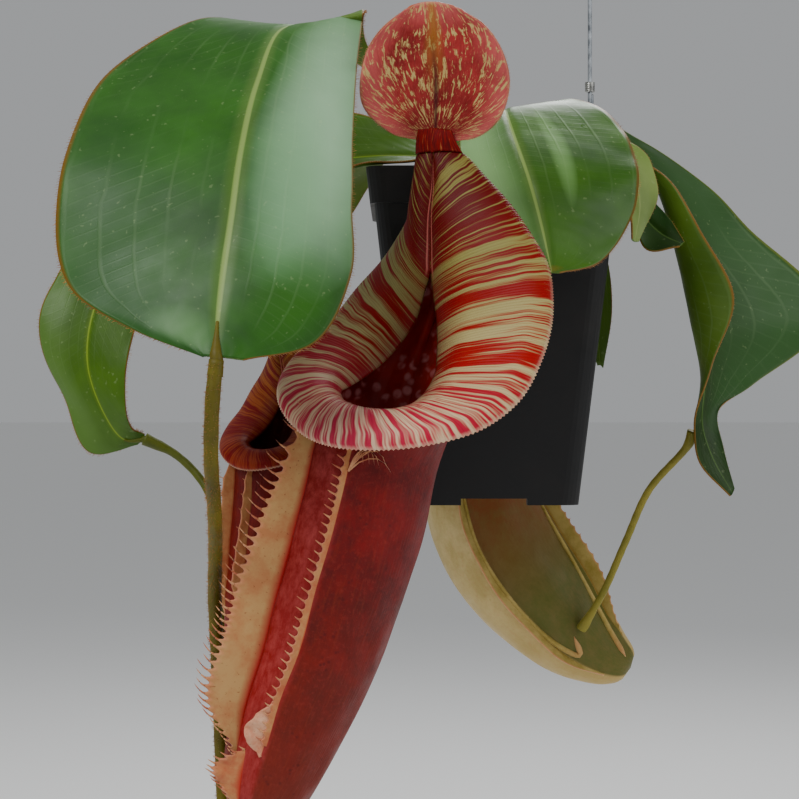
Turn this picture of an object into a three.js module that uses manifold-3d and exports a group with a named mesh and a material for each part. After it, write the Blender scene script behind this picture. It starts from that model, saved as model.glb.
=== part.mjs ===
// A tropical pitcher plant in a deep square nursery pot that hangs from one wire.
// Millimetres, +Z up, +Y away from the viewer. The plant is drawn around the middle of the pot's
// rim, and the whole group is then moved so that the wire's hook holds it at the origin.
import * as THREE from 'three';
import Module from 'manifold-3d';
import { mergeVertices } from 'three/addons/utils/BufferGeometryUtils.js';

const wasm = await Module();
wasm.setup();

const FIT_GAP = 0.35; // clearance between pieces that touch on the real plant

// ---------------------------------------------------------------- driving sizes
const POT = { rim: 100, foot: 67, top: -4, bottom: -135, wall: 1.6, corner: 7, collar: 14, lip: 1.6 };
const SOIL_TOP = POT.top - 9;
const STEM_RADIUS = 5.5;
const STEM_TOP = 9;
const HOOK_POINT = new THREE.Vector3(6, 4, 208); // where the hook's crown rests on its peg
const WIRE_RADIUS = 0.9;
const WIRE_CORNER = new THREE.Vector3(43.9, 43.3, 0); // the wire's upright stands over this point
const BLADE_THICKNESS = 0.9;
const TENDRIL_RADIUS = 2.6;
const CUP_WALL = 1.3;
const RIM_THICKNESS = 1.5;
const RIM_CLEARANCE = 0.95; // from the rim's underside to the cup's edge, with room for both pieces' facets
const WING_THICKNESS = 0.9;
const WING_ROOT = 0.75; // how deep a wing's root is sunk into the cup's wall
const MIDRIB_GROOVE = 0.9;
const FERRULE_HEIGHT = 39;

// ---------------------------------------------------------------- small helpers
const vec = (point) => new THREE.Vector3(...point);
const mix = (a, b, t) => a + (b - a) * t;
const smooth = (t) => t * t * (3 - 2 * t);
const curveThrough = (points, closed = false) =>
  new THREE.CatmullRomCurve3(points.map(vec), closed, 'centripetal');

function paint(color, roughness, metalness = 0) {
  return new THREE.MeshStandardMaterial({ color, roughness, metalness });
}

function toSolid(geometry) {
  const bare = geometry.clone();
  for (const name of Object.keys(bare.attributes)) if (name !== 'position') bare.deleteAttribute(name);
  const merged = mergeVertices(bare, 1e-4);
  return new wasm.Manifold(new wasm.Mesh({
    numProp: 3,
    vertProperties: new Float32Array(merged.attributes.position.array),
    triVerts: new Uint32Array(merged.index.array),
  }));
}

function fromSolid(solid) {
  const { vertProperties, triVerts } = solid.getMesh();
  const geometry = new THREE.BufferGeometry();
  geometry.setAttribute('position', new THREE.BufferAttribute(vertProperties, 3));
  geometry.setIndex(new THREE.BufferAttribute(triVerts, 1));
  return geometry;
}

const join = (parts) => fromSolid(parts.map(toSolid).reduce((whole, part) => whole.add(part)));
const cut = (body, tools) =>
  fromSolid(tools.map(toSolid).reduce((whole, tool) => whole.subtract(tool), toSolid(body)));

function geometryFrom(points, triangles) {
  const geometry = new THREE.BufferGeometry();
  const places = points.flatMap((p) => [p.x, p.y, p.z]);
  geometry.setAttribute('position', new THREE.Float32BufferAttribute(places, 3));
  geometry.setIndex(triangles.flat());
  return geometry;
}

// A closed strip of rings: rings[k][j] is point j of ring k. Both ends are closed by a middle point.
function skinRings(rings) {
  const sides = rings[0].length;
  const points = rings.flat();
  const triangles = [];
  for (let k = 0; k + 1 < rings.length; k++) {
    for (let j = 0; j < sides; j++) {
      const a = k * sides + j;
      const b = k * sides + ((j + 1) % sides);
      triangles.push([a, b, b + sides], [a, b + sides, a + sides]);
    }
  }
  const middle = (ring) => ring.reduce((sum, p) => sum.add(p), new THREE.Vector3()).divideScalar(sides);
  const first = points.push(middle(rings[0])) - 1;
  const last = points.push(middle(rings.at(-1))) - 1;
  const end = (rings.length - 1) * sides;
  for (let j = 0; j < sides; j++) {
    const next = (j + 1) % sides;
    triangles.push([first, next, j], [last, end + j, end + next]);
  }
  return geometryFrom(points, triangles);
}

// A tapering round stalk along a curve. radiusAt(s) gives its radius, s running 0 to 1.
function stalk(points, radiusAt, steps, sides) {
  const curve = curveThrough(points);
  const frames = curve.computeFrenetFrames(steps);
  const rings = [];
  for (let k = 0; k <= steps; k++) {
    const centre = curve.getPointAt(k / steps);
    const ring = [];
    for (let j = 0; j < sides; j++) {
      const angle = (2 * Math.PI * j) / sides;
      ring.push(centre.clone()
        .addScaledVector(frames.normals[k], radiusAt(k / steps) * Math.cos(angle))
        .addScaledVector(frames.binormals[k], radiusAt(k / steps) * Math.sin(angle)));
    }
    rings.push(ring);
  }
  return skinRings(rings);
}

// Normals of an open grid of points, by the differences of each point's neighbours.
function gridNormals(grid) {
  const rows = grid.length - 1;
  const columns = grid[0].length - 1;
  return grid.map((row, i) => row.map((_, j) => {
    const along = grid[Math.min(i + 1, rows)][j].clone().sub(grid[Math.max(i - 1, 0)][j]);
    const across = row[Math.min(j + 1, columns)].clone().sub(row[Math.max(j - 1, 0)]);
    return along.cross(across).normalize();
  }));
}

// A thin closed sheet on a grid of points, with the same triangles on both faces.
function sheet(grid, thickness) {
  const rows = grid.length;
  const columns = grid[0].length;
  const normals = gridNormals(grid);
  const points = [];
  for (const side of [0.5, -0.5]) {
    grid.forEach((row, i) => row.forEach((p, j) => {
      points.push(p.clone().addScaledVector(normals[i][j], side * thickness));
    }));
  }
  const top = (i, j) => i * columns + j;
  const bottom = (i, j) => rows * columns + top(i, j);
  const triangles = [];
  for (let i = 0; i + 1 < rows; i++) {
    for (let j = 0; j + 1 < columns; j++) {
      triangles.push([top(i, j), top(i + 1, j), top(i + 1, j + 1)]);
      triangles.push([top(i, j), top(i + 1, j + 1), top(i, j + 1)]);
      triangles.push([bottom(i, j), bottom(i + 1, j + 1), bottom(i + 1, j)]);
      triangles.push([bottom(i, j), bottom(i, j + 1), bottom(i + 1, j + 1)]);
    }
  }
  const edge = [];
  for (let j = 0; j < columns; j++) edge.push([0, j]);
  for (let i = 1; i < rows; i++) edge.push([i, columns - 1]);
  for (let j = columns - 2; j >= 0; j--) edge.push([rows - 1, j]);
  for (let i = rows - 2; i > 0; i--) edge.push([i, 0]);
  edge.forEach(([i, j], n) => {
    const [k, l] = edge[(n + 1) % edge.length];
    triangles.push([top(i, j), top(k, l), bottom(k, l)], [top(i, j), bottom(k, l), bottom(i, j)]);
  });
  return geometryFrom(points, triangles);
}

// ---------------------------------------------------------------- pot, mix, stem, hanger
function roundedSquare(side, corner) {
  const half = side / 2;
  const inner = half - corner;
  const shape = new THREE.Shape();
  shape.absarc(inner, inner, corner, 0, Math.PI / 2);
  shape.absarc(-inner, inner, corner, Math.PI / 2, Math.PI);
  shape.absarc(-inner, -inner, corner, Math.PI, 1.5 * Math.PI);
  shape.absarc(inner, -inner, corner, 1.5 * Math.PI, 2 * Math.PI);
  return shape.getPoints(3).slice(0, -1);
}

function taperedBlock(sideBelow, sideAbove, zBelow, zAbove, corner) {
  const ring = (side, z) => roundedSquare(side, corner).map((p) => new THREE.Vector3(p.x, p.y, z));
  return skinRings([ring(sideBelow, zBelow), ring(sideAbove, zAbove)]);
}

const potSideAt = (z) => mix(POT.foot, POT.rim - 2 * POT.lip, (z - POT.bottom) / (POT.top - POT.bottom));

function potGeometry() {
  const collarFoot = POT.top - POT.collar;
  const outside = taperedBlock(POT.foot, potSideAt(POT.top), POT.bottom, POT.top, POT.corner);
  const collar = taperedBlock(potSideAt(collarFoot) + 2 * POT.lip, POT.rim, collarFoot, POT.top, POT.corner);
  const floor = POT.bottom + 5;
  const inside = (z) => potSideAt(z) - 2 * POT.wall;
  const hollow = taperedBlock(inside(floor), inside(POT.top + 2), floor, POT.top + 2, POT.corner - POT.wall);
  const recess = taperedBlock(POT.foot - 16, POT.foot - 16, POT.bottom - 1, POT.bottom + 3, POT.corner);
  const tools = [hollow, recess];
  for (let side = 0; side < 4; side++) {
    const notch = new THREE.BoxGeometry(26, 20, 2.6);
    notch.translate(0, POT.foot / 2, POT.bottom + 1.3 - 0.01);
    const drain = new THREE.CylinderGeometry(4, 4, 12, 12).rotateX(Math.PI / 2);
    drain.translate(15, 15, floor - 2);
    for (const tool of [notch, drain]) tools.push(tool.rotateZ((side * Math.PI) / 2));
  }
  return cut(join([outside, collar]), tools);
}

// The top of the mix is a rolling grid, so that it reads as loose bark and moss.
function mixGeometry() {
  const inside = (z) => potSideAt(z) - 2 * POT.wall - 2 * FIT_GAP;
  const floor = POT.bottom + 5 + FIT_GAP;
  const rings = [];
  const outline = (side, z) => roundedSquare(side, POT.corner - POT.wall)
    .map((p) => new THREE.Vector3(p.x, p.y, z));
  rings.push(outline(inside(floor), floor), outline(inside(SOIL_TOP - 2), SOIL_TOP - 2));
  for (const share of [0.86, 0.66, 0.44, 0.22]) {
    const ring = outline(inside(SOIL_TOP), SOIL_TOP).map((p) => {
      const x = p.x * share;
      const y = p.y * share;
      const swell = 1.3 * Math.sin(x * 0.31 + 1) * Math.cos(y * 0.27);
      const lumps = swell + 0.8 * Math.sin(x * 0.7 + y * 0.6);
      return new THREE.Vector3(x, y, SOIL_TOP + lumps + 1.5 * (1 - share));
    });
    rings.push(ring);
  }
  const well = new THREE.CylinderGeometry(STEM_RADIUS + FIT_GAP, STEM_RADIUS + FIT_GAP, 60, 16);
  well.rotateX(Math.PI / 2).translate(0, 0, SOIL_TOP);
  return cut(skinRings(rings), [well]);
}

function stemGeometry() {
  const foot = SOIL_TOP - 29.5;
  const profile = [[0, foot], [STEM_RADIUS - 0.6, foot], [STEM_RADIUS, SOIL_TOP - 20],
    [STEM_RADIUS, STEM_TOP - 3], [STEM_RADIUS - 1.8, STEM_TOP], [0, STEM_TOP + 1.6]];
  return new THREE.LatheGeometry(profile.map(([r, z]) => new THREE.Vector2(r, z)), 16).rotateX(Math.PI / 2);
}

// A hook turned in the vertical plane through the wire, its crown resting on a peg at HOOK_POINT.
const HOOK_BEND = 7;
function hangerRoute() {
  const { x, y } = WIRE_CORNER;
  const inward = new THREE.Vector2(HOOK_POINT.x - x, HOOK_POINT.y - y).normalize();
  const crown = HOOK_POINT.clone().add(new THREE.Vector3(0, 0, WIRE_RADIUS));
  const route = [[x, y, POT.top - 6], [x, y, 40], [x, y, 110], [x, y, 138]];
  for (const angle of [-0.25, 0.25, 0.5, 0.75, 1, 1.25]) {
    const reach = -HOOK_BEND * Math.cos(angle * Math.PI);
    const height = HOOK_BEND * (Math.sin(angle * Math.PI) - 1);
    route.push([crown.x + inward.x * reach, crown.y + inward.y * reach, crown.z + height]);
  }
  return route;
}

function hangerGeometry() {
  const { x, y } = WIRE_CORNER;
  const out = (reach, z) => [x + reach, y + reach, z];
  const upright = stalk(hangerRoute(), () => WIRE_RADIUS, 24, 6);
  const below = POT.top - POT.collar;
  const clip = [out(0.9, 36), out(1.0, 25), out(1.4, POT.top + 5), out(3.6, POT.top + 2.8),
    out(5.6, POT.top), out(5.9, below + 4), out(5.4, below - 1), out(3.6, below - 2.4)];
  return join([upright, stalk(clip, () => WIRE_RADIUS * 0.9, 14, 6)]);
}

function ferruleGeometry() {
  const bore = WIRE_RADIUS + FIT_GAP;
  const profile = [[bore, -2], [bore + 0.9, -2], [bore + 0.9, 2], [bore, 2], [bore, -2]];
  const ring = new THREE.LatheGeometry(profile.map(([r, z]) => new THREE.Vector2(r, z)), 14);
  return ring.rotateX(Math.PI / 2).translate(WIRE_CORNER.x, WIRE_CORNER.y, FERRULE_HEIGHT);
}

// ---------------------------------------------------------------- leaves
// Every leaf is three lines of the same stations from its stalk to its tip: the midrib and both edges.
// A cross curve through each three points makes the blade, and waves lift it towards its edges.
function leafGeometry({ midrib, left, right, waves = 0, turns = 4, rows = 22, columns = 8 }) {
  const [middle, near, far] = [midrib, left, right].map((line) => curveThrough(line));
  const grid = [];
  for (let i = 0; i <= rows; i++) {
    const s = i / rows;
    const [m, a, b] = [middle, near, far].map((line) => line.getPoint(s));
    const half = b.clone().sub(a).multiplyScalar(0.5);
    const bow = a.clone().add(b).multiplyScalar(0.5).sub(m);
    const face = half.clone().cross(middle.getTangent(s)).normalize();
    const row = [];
    for (let j = 0; j <= columns; j++) {
      const v = (2 * j) / columns - 1;
      const lift = waves * Math.sin(Math.PI * s) * v * v * Math.sin(2 * Math.PI * turns * s + 2 * v);
      const groove = j === columns / 2 ? MIDRIB_GROOVE * Math.sin(Math.PI * s) : 0;
      const flat = m.clone().addScaledVector(half, v).addScaledVector(bow, v * v);
      row.push(flat.addScaledVector(face, lift - groove));
    }
    grid.push(row);
  }
  return sheet(grid, BLADE_THICKNESS);
}

const degrees = (d) => (d * Math.PI) / 180;

// The stalk that a leaf starts with: two narrow stations from the stem outwards, put before its blade's.
function onStem({ angle, rise, reach = 8, half = 3.4 }, blade) {
  const out = new THREE.Vector2(Math.cos(degrees(angle)), Math.sin(degrees(angle)));
  const at = (r, side, z) => [out.x * r - out.y * side, out.y * r + out.x * side, z];
  const near = STEM_RADIUS + FIT_GAP + 0.1;
  const far = near + reach;
  const lifted = rise + reach * 0.4;
  return {
    ...blade,
    midrib: [at(near, 0, rise), at(far, 0, lifted), ...blade.midrib],
    left: [at(near, half, rise + 1.5), at(far, half * 1.1, lifted + 2), ...blade.left],
    right: [at(near, -half, rise + 1.5), at(far, -half * 1.1, lifted + 2), ...blade.right],
  };
}

const LEAVES = {
  leaf_front: onStem({ angle: 232, rise: 5 }, {
    midrib: [[-33, -46, 24], [-53, -66, 34], [-67, -80, 43], [-79, -92, 42], [-87, -120, 18],
      [-91, -145, -9], [-93, -163, -34], [-95, -175, -55], [-96, -182, -70], [-96, -187, -80]],
    right: [[-36, -42, 26], [-58, -61, 37], [-84, -63, 46], [-112, -85, 46], [-142, -106, 22],
      [-152, -135, -11], [-153, -150, -38], [-146, -163, -57], [-124, -176, -71], [-100, -186, -80]],
    left: [[-29, -50, 26], [-48, -71, 37], [-50, -95, 47], [-50, -88, 48], [-52, -113, 23], [-53, -138, -3],
      [-53, -155, -28], [-53, -168, -53], [-64, -179, -75], [-87, -187, -81]],
    waves: 1,
    turns: 3,
    rows: 22,
  }),
  leaf_right: onStem({ angle: 300, rise: 1 }, {
    midrib: [[4, -30, 20], [7, -50, 7], [12, -67, -12], [16, -76, -30], [18, -80, -41], [19, -83, -47]],
    right: [[-9, -36, 18], [-14, -58, 1], [-8, -71, -21], [0, -78, -36], [10, -81, -44], [16, -83, -47]],
    left: [[29, -14, 26], [48, -32, 14], [54, -50, -4], [51, -61, -24], [37, -75, -43], [22, -83, -47]],
    waves: 0.8,
    rows: 18,
  }),
  leaf_left: onStem({ angle: 192, rise: 0, reach: 6 }, {
    midrib: [[-34, -12, 4], [-57, -22, 2], [-95, -32, -6], [-134, -40, -28], [-153, -45, -54],
      [-157, -48, -79], [-150, -48, -100], [-143, -46, -109], [-136, -45, -109]],
    right: [[-34, -4, 14], [-57, -10, 20], [-100, -14, 15], [-151, -24, -14], [-171, -34, -48],
      [-176, -40, -69], [-167, -42, -94], [-157, -42, -114], [-138, -44, -111]],
    left: [[-33, -18, 0], [-56, -30, -2], [-89, -42, -24], [-120, -48, -46], [-136, -51, -61],
      [-142, -55, -82], [-141, -52, -98], [-139, -48, -105], [-135, -46, -107]],
    waves: 2.5,
    turns: 3,
    rows: 22,
    columns: 6,
  }),
  leaf_far_right: onStem({ angle: 30, rise: 5, half: 3 }, {
    midrib: [[26, 15, 15], [46, 18, 14], [60, 20, 8], [71, 22, -6], [80, 25, -33], [88, 28, -63],
      [91, 30, -86], [90, 30, -104], [94, 29, -118], [102, 27, -133]],
    left: [[25, 19, 18], [46, 26, 22], [64, 29, 14], [93, 42, -2], [114, 54, -20], [149, 60, -57],
      [114, 50, -87], [97, 36, -99], [99, 31, -114], [103, 28, -131]],
    right: [[27, 11, 16], [46, 11, 8], [62, 11, 4], [74, 8, -6], [84, 2, -24], [99, 0, -52], [92, 12, -80],
      [86, 24, -104], [88, 24, -120], [101, 26, -134]],
    waves: 1,
    turns: 2,
    rows: 20,
    columns: 6,
  }),
  leaf_behind_pot: onStem({ angle: 66, rise: -2, half: 2.6 }, {
    midrib: [[12, 26, 8], [24, 48, 9], [34, 60, -8], [43, 63, -34], [48, 63, -58], [50, 60, -79]],
    left: [[8, 27, 9], [15, 50, 8], [22, 62, -10], [33, 66, -36], [42, 65, -60], [49, 61, -79]],
    right: [[16, 25, 9], [33, 45, 9], [45, 57, -8], [53, 60, -34], [55, 61, -56], [51, 60, -80]],
    waves: 1,
    rows: 12,
    columns: 4,
  }),
  leaf_back: onStem({ angle: 130, rise: 3 }, {
    midrib: [[-20, 24, 13], [-42, 48, 17], [-62, 72, 7], [-78, 92, -16], [-88, 104, -42]],
    left: [[-26, 19, 16], [-56, 37, 19], [-80, 56, 8], [-93, 79, -17], [-91, 102, -43]],
    right: [[-14, 29, 16], [-28, 59, 20], [-44, 87, 10], [-63, 105, -14], [-86, 106, -43]],
    waves: 1.5,
    turns: 3,
    rows: 14,
    columns: 6,
  }),
  leaf_folded: onStem({ angle: 344, rise: 6, half: 2.2 }, {
    midrib: [[28, -6, 13], [44, -5, 10], [56, -8, 1], [59, -14, -15], [56, -20, -31]],
    left: [[28, -1, 15], [46, 4, 15], [63, 0, 5], [67, -8, -10], [58, -18, -31]],
    right: [[28, -10, 14], [43, -14, 13], [54, -22, 3], [54, -25, -14], [55, -22, -30]],
    waves: 0.8,
    rows: 12,
    columns: 4,
  }),
  leaf_small: onStem({ angle: 6, rise: -4, half: 2 }, {
    midrib: [[26, 4, 3], [48, 9, 3], [59, 7, -14], [69, 2, -26], [77, -4, -31]],
    left: [[26, 7, 4], [49, 14, 5], [64, 11, -9], [73, 4, -20], [78, -4, -30]],
    right: [[26, 1, 4], [47, 5, 3.5], [57, 2, -16], [63, -3, -33], [76, -5, -32]],
    waves: 0.5,
    rows: 10,
    columns: 4,
  }),
};

const SPEAR = [[0, 0, STEM_TOP + 1.6 + FIT_GAP], [-1, 2, 24], [-3, 4, 38], [-4, 6, 50]];
const spearGeometry = () => stalk(SPEAR, (s) => mix(3, 0.5, s ** 1.5), 8, 7);

// The stalks that hang from the leaf tips and carry the pitchers.
const TENDRILS = {
  tendril_main: [[-95.8, -187.2, -81], [-97, -188, -94], [-98, -182, -112], [-98.5, -162, -131],
    [-100, -141, -146], [-101.5, -125, -163], [-101, -119, -186], [-100, -118, -212], [-99, -119, -235],
    [-97.5, -125, -251], [-92.6, -131.6, -249.4], [-89.75, -132.05, -241.6]],
  tendril_left: [[-135.1, -45.8, -108.9], [-123, -46, -115], [-112, -50, -126], [-104.6, -60, -143],
    [-102.8, -72, -165], [-102.8, -80, -186], [-100, -84, -197], [-97.2, -84.5, -196]],
  tendril_right: [[86, 30, -107], [84, 32, -113], [69, 42, -132], [60, 50, -154], [51, 55, -176],
    [45, 57, -187], [41.7, 59.8, -192.8]],
};
const TENDRIL_STEPS = 18;
const tendrilGeometry = (route) => stalk(route, () => TENDRIL_RADIUS, TENDRIL_STEPS, 6);

// ---------------------------------------------------------------- pitchers
// The mouth of a pitcher, as pairs of points on its inner and outer edge, from the top of the neck down its
// left side in plan, round the front lip and back. The first and last pairs of the neck share the seam.
const SEAM = [[-25, -101, -7], [-25, -103, -17], [-26, -105, -29], [-26, -107, -40], [-26, -109, -48]];
const INNER_EDGE = [
  ...SEAM,
  [-25, -112, -58], [-24, -117, -67], [-24, -124, -76], [-25, -131, -85], [-29, -137, -92],
  [-35, -142, -97], [-42, -144, -99], [-48, -143, -98], [-53, -140, -96], [-56, -136, -94],
  [-57, -131, -91], [-54, -125, -89], [-48, -119, -85], [-42, -114, -80], [-36, -110, -73],
  [-31, -108, -65], [-28, -108, -55],
  ...SEAM.slice(1).reverse(),
];
const OUTER_EDGE = [
  [-24, -99, -1], [-14, -102, -5], [-7, -107, -13], [1, -114, -23], [7, -121, -33], [13, -129, -45],
  [14, -137, -56], [13, -144, -67], [9, -151, -79], [2, -158, -91], [-10, -163, -100],
  [-27, -166, -105], [-45, -164, -107], [-61, -156, -106], [-71, -146, -102], [-78, -135, -94],
  [-80, -112, -84], [-74, -97, -74], [-64, -86, -64], [-54, -80, -51], [-45, -79, -41],
  [-39, -82, -33], [-34, -86, -24], [-33, -91, -17], [-32, -95, -10], [-31, -98, -5],
];
const STATIONS = INNER_EDGE.length;
const SEAM_STATIONS = SEAM.length - 1;
const RIM_SHARES = [0, 0.16, 0.34, 0.54, 0.76, 0.92, 1]; // grid lines from the inner to the outer edge
const SMALL_RIM_SHARES = [0, 0.34, 0.72, 1]; // fewer, on the smaller pitchers
const RIM_SEAT = 0.34; // the share under which the cup carries the rim

function mouthLines(place) {
  const put = (line) => curveThrough(line.map((p) => vec(p).applyMatrix4(place).toArray()), true);
  return { inner: put(INNER_EDGE), outer: put(OUTER_EDGE), size: place.getMaxScaleOnAxis() };
}

// Where the rim's upper face lies: station runs round the mouth, share from inner to outer edge.
function rimSection({ inner, outer, size }, station) {
  const wrapped = ((station % STATIONS) + STATIONS) % STATIONS;
  const onSeam = wrapped > STATIONS - SEAM_STATIONS ? STATIONS - wrapped : wrapped;
  const from = inner.getPoint((wrapped > STATIONS - SEAM_STATIONS ? onSeam : wrapped) / STATIONS);
  const to = outer.getPoint(wrapped / STATIONS);
  const middle = (t) => {
    const turn = (((t / STATIONS) % 1) + 1) % 1;
    return inner.getPoint(turn).lerp(outer.getPoint(turn), 0.6);
  };
  const around = middle(wrapped + 0.6).sub(middle(wrapped - 0.6));
  const across = to.clone().sub(from);
  const out = around.clone().cross(across).normalize();
  const neck = Math.min(1, Math.min(wrapped, STATIONS - wrapped) / SEAM_STATIONS);
  const height = size * mix(2.5, 8.5, smooth(neck));
  const roll = size * mix(0.5, 4, smooth(neck));
  const first = from.clone().addScaledVector(across, 0.22).addScaledVector(out, height);
  const second = to.clone().addScaledVector(out, height * 0.45);
  const last = to.clone().addScaledVector(out, -roll);
  return { curve: new THREE.CubicBezierCurve3(from, first, second, last), out };
}

// The rim: a ribbed ring that closes along its seam in the neck.
function rimGeometry(lines, perStation, shares) {
  const samples = STATIONS * perStation;
  const seamSamples = SEAM_STATIONS * perStation;
  const rows = shares.length;
  const sections = [];
  for (let n = 0; n < samples; n++) sections.push(rimSection(lines, n / perStation));
  const face = sections.map(({ curve }) => shares.map((share) => curve.getPoint(share)));
  const normals = face.map((section, n) => section.map((_, i) => {
    const after = face[(n + 1) % samples][i];
    const before = face[(n - 1 + samples) % samples][i];
    const around = after.clone().sub(before);
    const across = section[Math.min(i + 1, rows - 1)].clone().sub(section[Math.max(i - 1, 0)]);
    if (around.lengthSq() < 1e-6) return sections[n].out.clone();
    return around.cross(across).normalize();
  }));
  for (let n = 1; n < seamSamples; n++) {
    const twin = samples - n;
    const shared = normals[n][0].clone().add(normals[twin][0]).normalize();
    normals[n][0] = normals[twin][0] = shared;
  }
  const points = [];
  const index = [0, 1].map((side) => face.map((section, n) => section.map((p, i) => {
    const twin = samples - n;
    if (i === 0 && n > samples - seamSamples - 1 && twin > 0) return null;
    const rib = side === 0 && i > 0 && i < rows - 1 ? 0.3 * lines.size * (n % 2 ? 1 : -1) : 0;
    const scallop = i === rows - 1 && n % 2 ? 0.7 * lines.size : 0;
    const place = p.clone().addScaledVector(normals[n][i], rib - side * RIM_THICKNESS);
    place.addScaledVector(section[rows - 1].clone().sub(section[rows - 2]).normalize(), scallop);
    return points.push(place) - 1;
  })));
  for (const side of index) {
    for (let n = samples - seamSamples; n < samples; n++) side[n][0] = side[samples - n][0];
  }
  const triangles = [];
  for (let n = 0; n < samples; n++) {
    const m = (n + 1) % samples;
    for (let i = 0; i + 1 < rows; i++) {
      const corners = [[n, i], [m, i], [m, i + 1], [n, i + 1]];
      const [a, b, c, d] = corners.map(([k, l]) => [index[0][k][l], index[1][k][l]]);
      triangles.push([a[0], b[0], c[0]], [a[0], c[0], d[0]], [a[1], c[1], b[1]], [a[1], d[1], c[1]]);
    }
    const end = rows - 1;
    const [p, q, r, s] = [index[0][n][end], index[0][m][end], index[1][m][end], index[1][n][end]];
    triangles.push([p, q, r], [p, r, s]);
    if (n >= seamSamples && n < samples - seamSamples) {
      const [e, f, g, h] = [index[0][n][0], index[0][m][0], index[1][m][0], index[1][n][0]];
      triangles.push([e, g, f], [e, h, g]);
    }
  }
  return geometryFrom(points, triangles.filter(([a, b, c]) => a !== b && b !== c && c !== a));
}

// A cup's body: centre, axes and radius at share s of the way from under the rim to the foot.
function ringAt(body, s, inset = 0) {
  const levels = body.levels;
  const after = Math.max(1, levels.findIndex(([share]) => share >= s));
  const [[sa, ra], [sb, rb]] = [levels[after - 1], levels[after]];
  const centre = body.line.getPoint(s);
  const up = body.line.getTangent(s).negate();
  const front = body.front.clone().addScaledVector(up, -body.front.dot(up)).normalize();
  const side = up.clone().cross(front);
  return { centre, up, front, side, radius: mix(ra, rb, (s - sa) / (sb - sa)) - inset };
}

function onRing({ centre, front, side, radius }, angle) {
  const forward = centre.clone().addScaledVector(front, radius * Math.cos(angle));
  return forward.addScaledVector(side, radius * Math.sin(angle));
}

// Where the cup's wall ends under the rim, with the way that the rim faces there.
function rimSeat(lines, station, inset) {
  const { curve, out } = rimSection(lines, station);
  const share = RIM_SEAT - (inset * 0.9) / curve.getLength();
  const [before, after] = [-0.3, 0.3].map((step) => rimSection(lines, station + step).curve.getPoint(share));
  const normal = after.sub(before).cross(curve.getTangent(share)).normalize();
  if (normal.dot(out) < 0) normal.negate();
  return { point: curve.getPoint(share).addScaledVector(normal, -RIM_THICKNESS - RIM_CLEARANCE), normal };
}

// The stations of the seam crowd together, so the wall's columns there are spread evenly round the back.
function spreadAngles(raw) {
  const start = STATIONS - SEAM_STATIONS - 3;
  const steps = 2 * SEAM_STATIONS + 3;
  const turn = raw[SEAM_STATIONS] - raw[start] - 2 * Math.PI;
  const span = turn < -2 * Math.PI ? turn + 2 * Math.PI : turn;
  const angles = [...raw];
  for (let k = 1; k < steps; k++) angles[(start + k) % STATIONS] = raw[start] + (span * k) / steps;
  return angles;
}

// The cup as rings, from its edge under the rim down to its foot.
function cupRings(lines, body, inset) {
  const seats = [];
  for (let n = 0; n < STATIONS; n++) seats.push(rimSeat(lines, n, inset));
  const top = ringAt(body, 0, inset);
  const angles = spreadAngles(seats.map(({ point }) => {
    const out = point.clone().sub(top.centre);
    return Math.atan2(out.dot(top.side), out.dot(top.front));
  }));
  const wall = seats.map(({ point, normal }, n) => {
    const foot = onRing(top, angles[n]);
    const reach = foot.distanceTo(point) / 3;
    return new THREE.CubicBezierCurve3(foot, foot.clone().addScaledVector(top.up, reach),
      point.clone().addScaledVector(normal, -reach), point);
  });
  const rings = [];
  for (let k = body.wallRows; k > 0; k--) rings.push(wall.map((path) => path.getPoint(k / body.wallRows)));
  for (const [s] of body.levels) {
    const ring = ringAt(body, s, inset);
    rings.push(angles.map((angle) => onRing(ring, angle)));
  }
  return rings;
}

function cupShell(lines, body) {
  const outside = cupRings(lines, body, 0);
  const inside = cupRings(lines, body, CUP_WALL).slice(0, -2);
  const sides = STATIONS;
  const points = [...outside.flat(), ...inside.flat()];
  const triangles = [];
  const quad = (a, b, c, d) => triangles.push([a, b, c], [a, c, d]);
  const inStart = outside.length * sides;
  for (let j = 0; j < sides; j++) {
    const next = (j + 1) % sides;
    for (let k = 0; k + 1 < outside.length; k++) {
      quad(k * sides + next, (k + 1) * sides + next, (k + 1) * sides + j, k * sides + j);
    }
    for (let k = 0; k + 1 < inside.length; k++) {
      const [row, below] = [inStart + k * sides, inStart + (k + 1) * sides];
      quad(row + j, below + j, below + next, row + next);
    }
    quad(inStart + j, inStart + next, next, j);
  }
  const close = (start, ring, inward) => {
    const sum = ring.reduce((total, p) => total.add(p), new THREE.Vector3());
    const middle = points.push(sum.divideScalar(sides)) - 1;
    for (let j = 0; j < sides; j++) {
      const [a, b] = [start + j, start + ((j + 1) % sides)];
      triangles.push(inward ? [middle, b, a] : [middle, a, b]);
    }
  };
  close((outside.length - 1) * sides, outside.at(-1), false);
  close(inStart + (inside.length - 1) * sides, inside.at(-1), true);
  return geometryFrom(points, triangles);
}

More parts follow.
